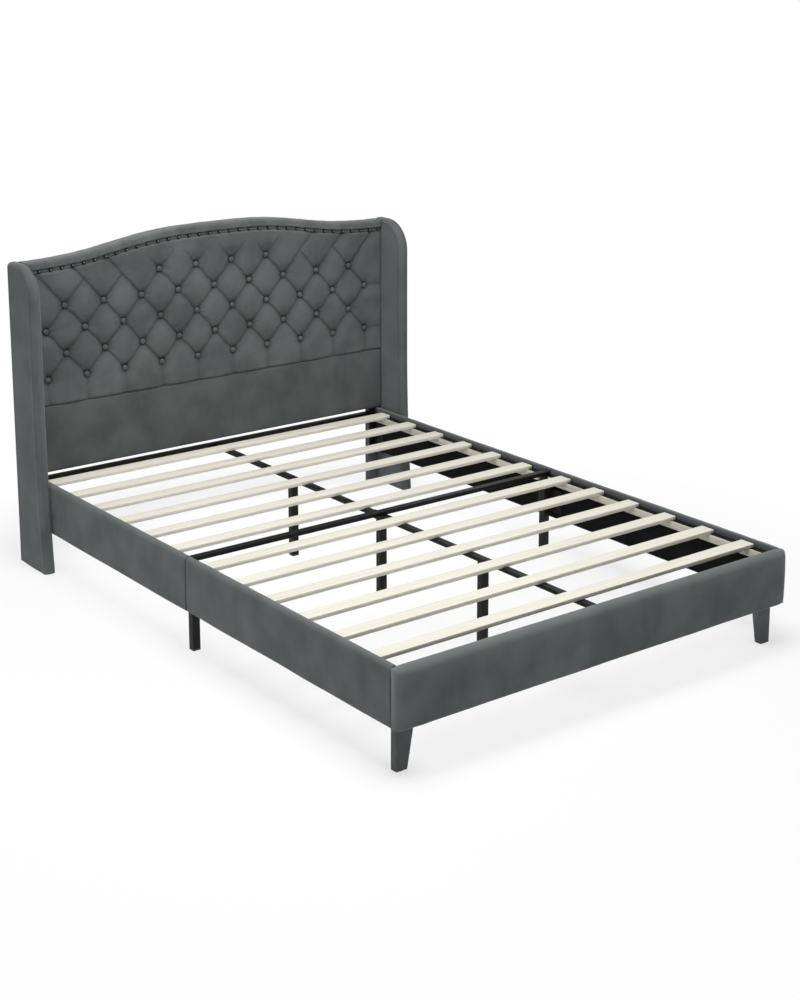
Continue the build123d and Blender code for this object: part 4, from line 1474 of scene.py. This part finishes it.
@dataclass
class SideRails:
    """The padded rail covers, in two sections a side, and the cloth inside them."""

    finishes: Finishes
    board_gap: float = 2 * MM
    radii: tuple[float, ...] = (3.5 * MM, 13.5 * MM, 6 * MM)
    cover_wall: float = 1.2 * MM
    lining_wall: float = 0.5 * MM
    spacing: float = 8 * MM
    end_radius: float = 5 * MM
    pull_depth: float = 0.45 * MM
    pull_reach: float = 60 * MM
    slack_depth: float = 0.5 * MM
    belly_depth: float = 1.1 * MM
    brow_depth: float = 0.8 * MM
    brow_reach: float = 14 * MM
    setback: float = 0.6 * MM
    top_light: float = 0.48
    top_light_reach: float = 9 * MM
    seam_shade: float = 0.85
    seam_reach: float = 3 * MM
    slip: float = 0.3 * MM
    tuck_depth: float = 2 * MM
    end_room: float = 0.5 * MM
    outer_room: float = 3.4 * MM
    top_room: float = 2.6 * MM
    top_ripple: float = 0.25 * MM
    lining_gap: float = 0.25 * MM
    lining_ripple: float = 0.12 * MM

    def build(self) -> None:
        """Builds the four covers and the five linings."""
        for side in Side:
            for half in Half:
                self.cover(side, half)
        self.linings()

    def cover(self, side: Side, half: Half) -> None:
        """Builds one section's cover: over the top, down the outside, under the board and turned in."""
        node = f"rail_cover_{side.word}_{half.value}"
        low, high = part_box(node)
        wide = high.x - low.x
        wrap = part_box("inner_backings")[1].z
        corners = [
            (self.slip, wrap),
            (0.0, high.z),
            (wide, high.z),
            (wide, low.z),
            (self.board_gap + 0.2 * MM, low.z),
        ]
        tuck = (self.board_gap - 0.4 * MM, wrap - self.tuck_depth)
        section = refined(np.concatenate([[tuck], rounded(corners, self.radii, 9)]), 5.5 * MM)
        out = normals_of(section)
        if out[len(out) // 2][0] < 0:
            out = -out
        stations = end_stations(low.y, high.y, self.end_radius, self.spacing)
        ys, zs = np.meshgrid(stations, section[:, 1], indexing="ij")
        tall = (section[:, 1] - low.z) / (high.z - low.z)
        under_top = high.z - section[:, 1]
        outer = np.clip((section[:, 0] - wide * 0.45) / (wide * 0.4), 0, 1)
        top = np.clip(1 - under_top / (12 * MM), 0, 1)
        room = self.end_room + self.outer_room * outer + self.top_room * top * (1 - outer)
        from_end = np.minimum(stations - low.y, high.y - stations)
        dip = end_dip(from_end, self.end_radius)[:, None] / self.end_radius * room[None, :]
        pulls = self.pull_depth * unevenness(ys, zs * 0.25, 42 * MM, 20 + side.value)
        pulls = pulls * np.exp(-from_end / self.pull_reach)[:, None]
        slack = self.slack_depth * unevenness(ys, zs * 0.8, 190 * MM, 30 + side.value)
        belly = self.belly_depth * (1 - (2 * tall - 1) ** 2)
        belly = belly - self.brow_depth * np.exp(-under_top / self.brow_reach)
        lift = (pulls + slack + belly[None, :] - self.setback) * outer[None, :]
        lift = lift + self.top_ripple * unevenness(ys, zs, 90 * MM, 40) * top
        places = section[None] + (lift - dip)[..., None] * out[None]
        face = side.value * (abs(low.x + high.x) / 2 - wide / 2)
        rings = np.stack([face + side.value * places[..., 0], ys, places[..., 1]], axis=-1)
        centre = (face + side.value * wide * 0.4, (low.y + high.y) / 2, (low.z + high.z) / 2)
        # Painted highlight along the rail's top edge.
        light = np.tile(self.top_light * np.exp(-under_top / self.top_light_reach), (len(stations), 1))
        # Painted shade at both ends of the section, where it butts against the next piece.
        shade = self.seam_shade * np.exp(-((from_end / self.seam_reach) ** 2))
        crease = np.tile(shade[:, None], (1, len(section)))
        piece = loft(f"rail_{side.word}_{half.value}_velvet", rings, centre, crease=crease, light=light)
        thicken(piece, self.cover_wall)
        smooth(piece, 50)
        dress(piece, [self.finishes.velvet], [node])
        covered_board(f"rail_board_{side.word}_{half.value}", self.finishes.board)

    def linings(self) -> None:
        """Builds the thin black cloths on the inner faces of the rails and the foot panel."""
        for points in islands("inner_backings"):
            low, high = points.min(axis=0), points.max(axis=0)
            across = high[0] - low[0] > 0.1
            along = np.linspace(low[0] if across else low[1], high[0] if across else high[1], 90)
            tall = np.linspace(low[2], high[2], 14)
            a, z = np.meshgrid(along, tall, indexing="ij")
            wave = self.lining_ripple * unevenness(a, z, 70 * MM, 50)
            if across:
                name, rests = "lining_foot", "foot_board"
                rings = np.stack([a, high[1] - self.lining_gap + wave, z], axis=-1)
                behind = (0, low[1] - 0.1, (low[2] + high[2]) / 2)
            else:
                side = Side.RIGHT if low[0] > 0 else Side.LEFT
                half = Half.FOOT if low[1] < -0.5 else Half.HEAD
                name, rests = f"lining_{side.word}_{half.value}", f"rail_board_{side.word}_{half.value}"
                face = min(abs(low[0]), abs(high[0])) + self.lining_gap
                rings = np.stack([side.value * (face + wave), a, z], axis=-1)
                behind = (side.value * (face + 0.1), (low[1] + high[1]) / 2, (low[2] + high[2]) / 2)
            piece = loft(name, rings, behind)
            thicken(piece, self.lining_wall)
            smooth(piece, 50)
            dress(piece, [self.finishes.lining], ["inner_backings"])


@dataclass
class FootPanel:
    """The padded foot panel and its two tapered legs."""

    finishes: Finishes
    top_radius: float = 22 * MM
    low_radius: float = 8 * MM
    end_length: float = 34 * MM
    end_depth: float = 13 * MM
    end_drop: float = 7 * MM
    end_limit_share: float = 0.85
    low_drop_share: float = 0.25
    cover_wall: float = 1.2 * MM
    spacing: float = 8 * MM
    belly_depth: float = 1.4 * MM
    brow_depth: float = 1.2 * MM
    brow_reach: float = 16 * MM
    slack_depth: float = 0.65 * MM
    pull_depth: float = 0.4 * MM
    pull_reach: float = 70 * MM
    setback: float = 0.9 * MM
    top_light: float = 0.60
    top_light_reach: float = 28 * MM
    end_light: float = 0.26
    end_light_reach: float = 16 * MM
    board_gap: float = 2 * MM
    leg_floor_width: float = 37 * MM
    leg_edge: float = 3.5 * MM
    leg_base: float = 2 * MM
    leg_ripple: float = 0.25 * MM
    leg_setback: float = 0.2 * MM

    def build(self) -> None:
        """Builds the cover and the legs."""
        self.cover()
        for side in Side:
            self.leg(side)

    def cover(self) -> None:
        """Builds the cover, closed round both ends of the board."""
        low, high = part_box("foot_cover")
        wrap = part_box("inner_backings")[1].z
        corners = [
            (high.y - self.board_gap + 0.2 * MM, wrap),
            (high.y - 0.3 * MM, wrap),
            (high.y, high.z),
            (low.y, high.z),
            (low.y, low.z),
            (high.y, low.z),
            (high.y, low.z + 4 * MM),
        ]
        radii = [0.5 * MM, 4.5 * MM, self.top_radius, self.low_radius, 1.5 * MM]
        section = refined(rounded(corners, radii, 10), 5.5 * MM)
        out = normals_of(section)
        if out[len(out) // 3][1] < 0:
            out = -out
        centre_y, centre_z = (low.y + high.y) / 2, (low.z + high.z) / 2
        stations = end_stations(low.x, high.x, self.end_length, self.spacing)
        xs, zs = np.meshgrid(stations, section[:, 1], indexing="ij")
        tall = (section[:, 1] - low.z) / (high.z - low.z)
        under_top = high.z - section[:, 1]
        front = np.clip((high.y - 8 * MM - section[:, 0]) / (14 * MM), 0, 1)
        from_end = np.minimum(stations - low.x, high.x - stations)
        belly = self.belly_depth * (1 - (2 * tall - 1) ** 2)
        belly = belly - self.brow_depth * np.exp(-under_top / self.brow_reach)
        slack = self.slack_depth * unevenness(xs, zs * 0.7, 180 * MM, 60)
        pulls = self.pull_depth * unevenness(xs, zs * 0.3, 40 * MM, 61)
        pulls = pulls * (0.25 + np.exp(-from_end / self.pull_reach))[:, None]
        lift = (belly[None, :] - self.setback + slack + pulls) * front[None, :]
        dip = end_dip(from_end, self.end_length) / self.end_length
        towards = np.stack([centre_y - section[:, 0], centre_z - section[:, 1]], axis=1)
        drop = np.where(section[:, 1] > centre_z, self.end_drop, self.end_drop * self.low_drop_share)
        depth = np.where(towards[:, 0] > 0, self.end_depth, 0.0)
        reach = np.stack([depth, drop], axis=1) * np.abs(out)
        pull_in = np.sign(towards) * np.minimum(reach, np.abs(towards) * self.end_limit_share)
        places = section[None] + lift[..., None] * out[None] + dip[:, None, None] * pull_in[None]
        rings = np.stack([xs, places[..., 0], places[..., 1]], axis=-1)
        # Painted highlights along the panel's top edge and at its rounded ends.
        top_highlight_paint = self.top_light * np.exp(-(high.z - zs) / self.top_light_reach)
        end_highlight_paint = self.end_light * np.exp(-from_end / self.end_light_reach)[:, None]
        centre = (0, centre_y, centre_z)
        piece = loft("foot_panel_velvet", rings, centre, caps=True, light=top_highlight_paint + end_highlight_paint)
        thicken(piece, self.cover_wall)
        smooth(piece, 50)
        dress(piece, [self.finishes.velvet], ["foot_cover"])
        covered_board("foot_board", self.finishes.board)

    def leg(self, side: Side) -> None:
        """Builds one foot leg: upright outside, leaning in below, with softened edges."""
        node = f"foot_leg_{side.word}"
        low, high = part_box(node)
        leg = add_block(f"{node}_cloth", low, high)
        outer = max(abs(low.x), abs(high.x))

        def upright(edge: bmesh.types.BMEdge) -> bool:
            """Tells the leg's long edges."""
            return abs(edge.verts[0].co.z - edge.verts[1].co.z) > 50 * MM

        with editing(leg, Element.VERT):
            choose(leg, Element.VERT, lambda v: v.co.z < low.z + MM and abs(v.co.x) < outer - MM)
            shift = (high.x - low.x) - self.leg_floor_width
            bpy.ops.transform.translate(value=(side.value * shift, 0, 0))
            bpy.ops.mesh.select_mode(type="EDGE")
            choose(leg, Element.EDGE, upright)
            bpy.ops.mesh.bevel(offset=self.leg_edge, segments=4, affect="EDGES")
            choose(leg, Element.EDGE, upright)
            bpy.ops.mesh.subdivide(number_cuts=11)
            bpy.ops.mesh.select_mode(type="FACE")
            choose(leg, Element.FACE, lambda f: f.normal.z < -0.9)
            bpy.ops.mesh.inset(thickness=self.leg_base, depth=0)
        centre_y = (low.y + high.y) / 2
        for vert in leg.data.vertices:
            wave = float(unevenness(np.array(vert.co.z), np.array(vert.co.x), 40 * MM, 70))
            vert.co.y += math.copysign(self.leg_ripple * wave - self.leg_setback, vert.co.y - centre_y)
        smooth(leg, 40)
        dress(leg, [self.finishes.leg], [node])


# The slats and their ledgers


@dataclass
class SlatDeck:
    """The wooden slats and the ledgers that carry their ends."""

    finishes: Finishes
    slat_count: int = 12
    slat_corner: float = 3.0 * MM
    slat_arris: float = 1.2 * MM
    ledger_arris: float = 1.0 * MM
    tape_wall: float = 0.7 * MM
    tape_gap: float = 0.2 * MM
    tape_ripple: float = 0.12 * MM

    def build(self) -> None:
        """Builds the slats, the ledgers and the tapes on them."""
        self.slats()
        for side in Side:
            self.ledger(side)
        self.tapes()

    def tapes(self) -> None:
        """Builds the black tapes on the ledgers' tops, which keep the slats' ends from slipping."""
        for number, points in enumerate(islands("ledger_tapes")):
            low, high = points.min(axis=0), points.max(axis=0)
            across, along = np.linspace(low[0], high[0], 5), np.linspace(low[1], high[1], 120)
            xs, ys = np.meshgrid(across, along, indexing="ij")
            zs = high[2] - self.tape_gap + self.tape_ripple * unevenness(xs, ys, 60 * MM, 80)
            beneath = (low[0], 0, low[2] - 0.1)
            piece = loft(f"ledger_tape_{number + 1}", np.stack([xs, ys, zs], axis=-1), beneath)
            thicken(piece, self.tape_wall)
            smooth(piece, 50)
            dress(piece, [self.finishes.lining], ["ledger_tapes"])

    def slats(self) -> None:
        """Shapes one slat by hand and lays a copy in each slat's place."""
        low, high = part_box("slat_01")
        size = high - low
        pattern = add_block("slat_pattern", -size / 2, size / 2)
        with editing(pattern, Element.EDGE):
            choose(pattern, Element.EDGE, lambda e: abs(e.verts[0].co.z - e.verts[1].co.z) > 5 * MM)
            bpy.ops.mesh.bevel(offset=self.slat_corner, segments=4, affect="EDGES")
            choose(pattern, Element.EDGE, lambda e: abs(e.verts[0].co.z - e.verts[1].co.z) < 1e-6)
            bpy.ops.mesh.bevel(offset=self.slat_arris, segments=2, affect="EDGES")
        for face in pattern.data.polygons:
            face.material_index = 0 if abs(face.normal.z) > 0.75 else 1
        smooth(pattern, 50)
        for number in range(1, self.slat_count + 1):
            node = f"slat_{number:02d}"
            slat_low, slat_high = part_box(node)
            flip = Matrix.Rotation(math.pi * (number % 2), 4, "Z")
            piece = copy_to(pattern, Matrix.Translation((slat_low + slat_high) / 2) @ flip)
            piece.name = f"{node}_wood"
            piece.data.name = piece.name
            dress(piece, [self.finishes.slat_face, self.finishes.slat_edge], [node])
        remove(pattern)

    def ledger(self, side: Side) -> None:
        """Builds the two ledgers of one side, with broken edges."""
        lengths = []
        for points in islands(f"ledger_{side.word}"):
            ledger = add_block("ledger_length", Vector(points.min(axis=0)), Vector(points.max(axis=0)))
            with editing(ledger, Element.EDGE):
                bpy.ops.mesh.select_all(action="SELECT")
                bpy.ops.mesh.bevel(offset=self.ledger_arris, segments=2, affect="EDGES")
            lengths.append(ledger)
        piece = join(lengths, f"ledger_{side.word}_wood")
        smooth(piece, 50)
        dress(piece, [self.finishes.ledger], [f"ledger_{side.word}"])


# The steel under-frame


@dataclass
class SteelFrame:
    """Tubes, legs, caps and bolts, and the brackets that keep their modelled shape."""

    finishes: Finishes
    wall: float = 1.5 * MM
    corner: float = 1.6 * MM
    angle_wall: float = 2.5 * MM
    head_bar_rise: float = 4 * MM
    cap_height: float = 6 * MM
    cap_edge: float = 1.6 * MM
    cap_inset: float = 1.9 * MM
    tube_arris: float = 0.3 * MM
    angle_arris: float = 0.4 * MM
    bolt_radius: float = 6 * MM
    head_only: float = 5 * MM
    bolt_head: float = 4 * MM
    bolt_socket: float = 2.6 * MM
    bolt_socket_depth: float = 2.4 * MM
    bolt_round: float = 1.4 * MM
    bolt_rim: float = 1.2 * MM
    shank_radius: float = 3 * MM
    shank_tip: float = 0.6 * MM
    legs: tuple[str, ...] = (
        "centre_leg_foot",
        "centre_leg_mid",
        "centre_leg_head",
        "side_leg_left",
        "side_leg_right",
    )

    def build(self) -> None:
        """Builds every piece of the under-frame."""
        for node in ("centre_rail_foot", "centre_rail_head"):
            self.tube(node, 1)
        self.tube("mid_crossbar", 0)
        self.head_bar()
        for node in self.legs:
            self.tube(node, 2)
        self.caps()
        self.bolts()
        self.carried_over()

    def tube(self, node: str, axis: int) -> None:
        """Builds a square tube with rounded corners and an open bore.

        Args:
            node: The model's node that it stands for.
            axis: The axis along the tube, 0 to 2.
        """
        low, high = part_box(node)
        tube = add_block(f"{node}_tube", low, high)

        def at_open_end(face: bmesh.types.BMFace) -> bool:
            """Tells the tube's end faces, of a leg only the one at the floor."""
            return abs(face.normal[axis]) > 0.9 and (axis != 2 or face.normal.z < 0)

        with editing(tube, Element.EDGE):
            choose(tube, Element.EDGE, lambda e: abs(e.verts[0].co[axis] - e.verts[1].co[axis]) > 20 * MM)
            bpy.ops.mesh.bevel(offset=self.corner, segments=4, affect="EDGES")
            bpy.ops.mesh.select_mode(type="FACE")
            choose(tube, Element.FACE, at_open_end)
            bpy.ops.mesh.delete(type="ONLY_FACE")
        thicken(tube, self.wall)
        ease_edges(tube, self.tube_arris, 1)
        smooth(tube, 40)
        dress(tube, [self.finishes.leg_steel if axis == 2 else self.finishes.steel], [node])

    def head_bar(self) -> None:
        """Builds the steel angle under the headboard, its top as high as the slats show it in the photo."""
        low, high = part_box("head_crossbar")
        top, front = high.z + self.head_bar_rise, high.y - self.angle_wall
        bar = add_block("head_bar_angle", Vector((low.x, front, low.z)), Vector((high.x, high.y, top)))
        with editing(bar, Element.FACE):
            bpy.ops.mesh.select_all(action="SELECT")
            bpy.ops.mesh.bisect(plane_co=(0, 0, top - self.angle_wall), plane_no=(0, 0, 1))
            choose(bar, Element.FACE, lambda f: f.normal.y < -0.9 and middle(f).z > top - self.angle_wall)
            bpy.ops.mesh.extrude_region_move(TRANSFORM_OT_translate={"value": (0, low.y - front, 0)})
        ease_edges(bar, self.angle_arris, 2)
        smooth(bar, 40)
        dress(bar, [self.finishes.steel], ["head_crossbar"])

    def caps(self) -> None:
        """Builds the plastic caps pushed into the steel legs."""
        copies = []
        for points in islands("leg_caps"):
            low, high = Vector(points.min(axis=0)), Vector(points.max(axis=0))
            foot = low + Vector((high.x - low.x, high.y - low.y, self.cap_height))
            cap = add_block("leg_cap", low, foot)
            with editing(cap, Element.FACE):
                choose(cap, Element.FACE, lambda f: f.normal.z > 0.9)
                bpy.ops.mesh.inset(thickness=self.cap_inset, depth=0)
                bpy.ops.mesh.extrude_region_move(TRANSFORM_OT_translate={"value": (0, 0, high.z - foot.z)})
                bpy.ops.mesh.select_mode(type="EDGE")
                choose(cap, Element.EDGE, lambda e: middle(e).z < foot.z - 0.1 * MM)
                bpy.ops.mesh.bevel(offset=self.cap_edge, segments=3, affect="EDGES")
            copies.append(cap)
        piece = join(copies, "leg_caps_plastic")
        smooth(piece, 40)
        dress(piece, [self.finishes.plastic], ["leg_caps"])

    def bolt_pattern(self) -> bpy.types.Object:
        """Builds one bolt head by hand, with a rounded top and a six-sided socket."""
        radius, tall = self.bolt_radius, self.bolt_head
        deselect_all()
        bpy.ops.mesh.primitive_cylinder_add(
            vertices=24, radius=radius, depth=tall, location=(0, 0, tall / 2)
        )
        head = settle(bpy.context.object, "bolt_pattern")
        with editing(head, Element.EDGE):
            choose(head, Element.EDGE, lambda e: all(v.co.z > tall - 0.1 * MM for v in e.verts))
            bpy.ops.mesh.bevel(offset=self.bolt_round, segments=3, affect="EDGES")
            bpy.ops.mesh.select_mode(type="FACE")
            choose(head, Element.FACE, lambda f: f.normal.z > 0.99)
            bpy.ops.mesh.inset(thickness=self.bolt_rim, depth=0)
            mesh = bmesh.from_edit_mesh(head.data)
            sixth = math.pi / 3
            for vert in (v for v in mesh.verts if v.select):
                angle = math.atan2(vert.co.y, vert.co.x)
                reach = self.bolt_socket / math.cos((angle % sixth) - sixth / 2)
                vert.co.xy = (reach * math.cos(angle), reach * math.sin(angle))
            bmesh.update_edit_mesh(head.data)
            downward = (0, 0, -self.bolt_socket_depth)
            bpy.ops.mesh.extrude_region_move(TRANSFORM_OT_translate={"value": downward})
        return head

    def shank(self, length: float, place: Matrix) -> bpy.types.Object:
        """Builds one bolt's shank under its head's seat.

        Args:
            length: The shank's length.
            place: Where the head's underside lies and which way it looks.

        Returns:
            The shank in its place.
        """
        deselect_all()
        bpy.ops.mesh.primitive_cylinder_add(
            vertices=14, radius=self.shank_radius, depth=length, location=(0, 0, -length / 2)
        )
        shank = settle(bpy.context.object, "shank")
        with editing(shank, Element.EDGE):
            choose(shank, Element.EDGE, lambda e: all(v.co.z < 0.1 * MM - length for v in e.verts))
            bpy.ops.mesh.bevel(offset=self.shank_tip, segments=1, affect="EDGES")
        shank.data.transform(place)
        return shank

    def bolts(self) -> None:
        """Sets a bolt with its shank wherever the model has one."""
        head = self.bolt_pattern()
        copies = []
        for points in islands("frame_bolts"):
            low, high = points.min(axis=0), points.max(axis=0)
            extent, centre = high - low, (low + high) / 2
            axis = int(np.argmax(np.abs(extent - 2 * self.bolt_radius)))
            off = np.delete(points - centre, axis, axis=1)
            in_head = np.hypot(off[:, 0], off[:, 1]) > self.head_only
            way = 1.0 if points[in_head][:, axis].mean() > centre[axis] else -1.0
            outward = Vector((0, 0, 0))
            outward[axis] = way
            seat = Vector(centre)
            seat[axis] = (high[axis] if way > 0 else low[axis]) - way * self.bolt_head
            place = Matrix.Translation(seat) @ outward.to_track_quat("Z", "Y").to_matrix().to_4x4()
            copies.append(copy_to(head, place))
            copies.append(self.shank(float(extent[axis]) - self.bolt_head, place))
        remove(head)
        piece = join(copies, "frame_bolts_steel")
        smooth(piece, 40)
        dress(piece, [self.finishes.bolt], ["frame_bolts"])

    def carried_over(self) -> None:
        """Gives the model's own brackets, boards and glides their materials."""
        looks = {
            self.finishes.steel: (
                "corner_brackets",
                "head_brackets",
                "joint_plates",
                "centre_rail_brackets",
            ),
            self.finishes.plastic: ("floor_glides",),
            self.finishes.board: (
                "headboard_battens",
                "headboard_panel",
                "headboard_post_left",
                "headboard_post_right",
                "wing_core_left",
                "wing_core_right",
            ),
        }
        for finish, nodes in looks.items():
            for node in nodes:
                piece = bpy.data.objects[node]
                piece.data.materials.clear()
                piece.data.materials.append(made(finish))
                LOG.info("%s: carried over", node)


# The studio


def backdrop_rays(tree: bpy.types.NodeTree) -> bpy.types.NodeSocket:
    """Gives 1 for the rays that see the backdrop: those of the camera, of gloss and of transmission."""
    rays = tree.nodes.new("ShaderNodeLightPath")
    seen = rays.outputs["Is Camera Ray"]
    for kind in ("Is Glossy Ray", "Is Transmission Ray"):
        larger = tree.nodes.new("ShaderNodeMath")
        larger.operation = "MAXIMUM"
        tree.links.new(seen, larger.inputs[0])
        tree.links.new(rays.outputs[kind], larger.inputs[1])
        seen = larger.outputs[0]
    return seen


@dataclass(frozen=True)
class Lamp:
    """One large soft lamp."""

    name: str
    place: tuple[float, float, float]
    aim: tuple[float, float, float]
    size: float
    power: float
    tint: Colour = (1.0, 1.0, 1.0)

    def light(self) -> None:
        """Adds the lamp, turned to its aim."""
        lamp = bpy.data.lights.new(self.name, "AREA")
        lamp.shape = "SQUARE"
        lamp.size = self.size
        lamp.energy = self.power
        lamp.color = self.tint
        holder = bpy.data.objects.new(self.name, lamp)
        bpy.context.scene.collection.objects.link(holder)
        holder.location = self.place
        holder.rotation_euler = (Vector(self.aim) - Vector(self.place)).to_track_quat("-Z", "Y").to_euler()


@dataclass
class Studio:
    """A pale floor, soft lamps and the camera."""

    place: tuple[float, float, float] = (-3.2545, -4.3421, 2.113)
    heading: float = 0.653
    tilt: float = 0.2184
    focal_pixels: float = 1804.4
    frame_height: float = 1000.0
    sensor: float = 36.0
    shift: float = -0.18
    floor_span: float = 60.0
    floor_drop: float = 0.5 * MM
    floor_colour: Colour = (0.96, 0.96, 0.965)
    fill_colour: Colour = (0.97, 0.985, 1.0)
    fill_strength: float = 0.25
    shadow_reach: float = 1.25
    white_from: float = 2.1
    near_white: float = 0.64
    pale_reach: float = 0.55
    pale_until: float = 1.05
    greyest: tuple[float, float, float] = (-0.3, -0.35, 0)
    palest: tuple[float, float, float] = (0.1, 0.5, 0)
    lamps: tuple[Lamp, ...] = (
        Lamp("overhead_lamp", (-0.6, -0.8, 4.2), (0.0, 0.0, 0.4), size=2.4, power=154),
        Lamp("left_lamp", (-7.2, -1.4, 4.4), (0.0, 0.2, 0.4), size=2.8, power=60, tint=(1.0, 0.955, 0.98)),
        Lamp("back_lamp", (1.2, 7.0, 3.6), (0.0, 0.6, 0.6), size=2.8, power=60),
    )

    def build(self) -> None:
        """Builds the studio."""
        self.world()
        self.floor()
        for lamp in self.lamps:
            lamp.light()
        self.camera()
        bpy.context.scene.view_settings.view_transform = "Standard"

    def camera(self) -> None:
        """Sets the camera at the photograph's viewing angle."""
        lens = bpy.data.cameras.new("camera")
        lens.sensor_width = self.sensor
        lens.lens = self.sensor * self.focal_pixels / self.frame_height
        lens.shift_y = self.shift
        camera = bpy.data.objects.new("camera", lens)
        bpy.context.scene.collection.objects.link(camera)
        camera.location = self.place
        camera.rotation_euler = (math.pi / 2 - self.tilt, 0, -self.heading)
        bpy.context.scene.camera = camera

    def floor(self) -> None:
        """Adds a wide floor that glows white to the camera and to gloss, fully far away and under the bed's
        head end, partly near the rest of the bed so its shadow shows there.
        """
        deselect_all()
        bpy.ops.mesh.primitive_plane_add(size=self.floor_span, location=(0, 0, -self.floor_drop))
        floor = settle(bpy.context.object, "floor")
        desk = Desk(bpy.data.materials.new("pale_floor"))
        nodes = desk.tree.nodes
        shader = desk.shader
        desk.put(shader, "Base Color", opaque(self.floor_colour))
        desk.put(shader, "Roughness", 0.9)
        desk.put(shader, "Specular IOR Level", 0.0)
        glow = desk.add("ShaderNodeEmission", Color=(1, 1, 1, 1), Strength=1.0)
        mix = nodes.new("ShaderNodeMixShader")
        spans = []
        for centre in (self.greyest, self.palest):
            span = desk.add("ShaderNodeVectorMath")
            span.operation = "DISTANCE"
            desk.tree.links.new(desk.place(), span.inputs[0])
            span.inputs[1].default_value = centre
            spans.append(span.outputs["Value"])
        # Painted light on the floor: the full glow under the head end hides the bed's real shadow there.
        outer = desk.ramp(spans[0], self.shadow_reach, self.white_from, self.near_white, 1.0)
        inner = desk.ramp(spans[1], self.pale_reach, self.pale_until, 1.0, self.near_white)
        white = desk.math("MAXIMUM", outer, inner)
        share = desk.math("MULTIPLY", backdrop_rays(desk.tree), white)
        desk.tree.links.new(share, mix.inputs[0])
        desk.tree.links.new(shader.outputs[0], mix.inputs[1])
        desk.tree.links.new(glow.outputs[0], mix.inputs[2])
        output = next(n for n in nodes if n.type == "OUTPUT_MATERIAL")
        desk.tree.links.new(mix.outputs[0], output.inputs["Surface"])
        floor.data.materials.append(desk.material)

    def world(self) -> None:
        """Sets a white surround for the camera and soft fill for the bed."""
        world = bpy.data.worlds.new("surround")
        bpy.context.scene.world = world
        world.use_nodes = True
        nodes, links = world.node_tree.nodes, world.node_tree.links
        fill = nodes["Background"]
        fill.inputs["Color"].default_value = opaque(self.fill_colour)
        fill.inputs["Strength"].default_value = self.fill_strength
        white = nodes.new("ShaderNodeBackground")
        white.inputs["Color"].default_value = (1, 1, 1, 1)
        white.inputs["Strength"].default_value = 1.0
        mix = nodes.new("ShaderNodeMixShader")
        links.new(backdrop_rays(world.node_tree), mix.inputs[0])
        links.new(fill.outputs[0], mix.inputs[1])
        links.new(white.outputs[0], mix.inputs[2])
        links.new(mix.outputs[0], nodes["World Output"].inputs["Surface"])


def main() -> None:
    """Builds the bed's looks around the model, then the studio."""
    logging.basicConfig(level=logging.INFO, format="%(name)s %(message)s")
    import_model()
    finishes = Finishes()
    for assembly in (
        Headboard(finishes),
        Wings(finishes),
        SideRails(finishes),
        FootPanel(finishes),
        SlatDeck(finishes),
        SteelFrame(finishes),
        Studio(),
    ):
        assembly.build()
        LOG.info("%s done", type(assembly).__name__)
    deselect_all()


if __name__ == "__main__":
    main()
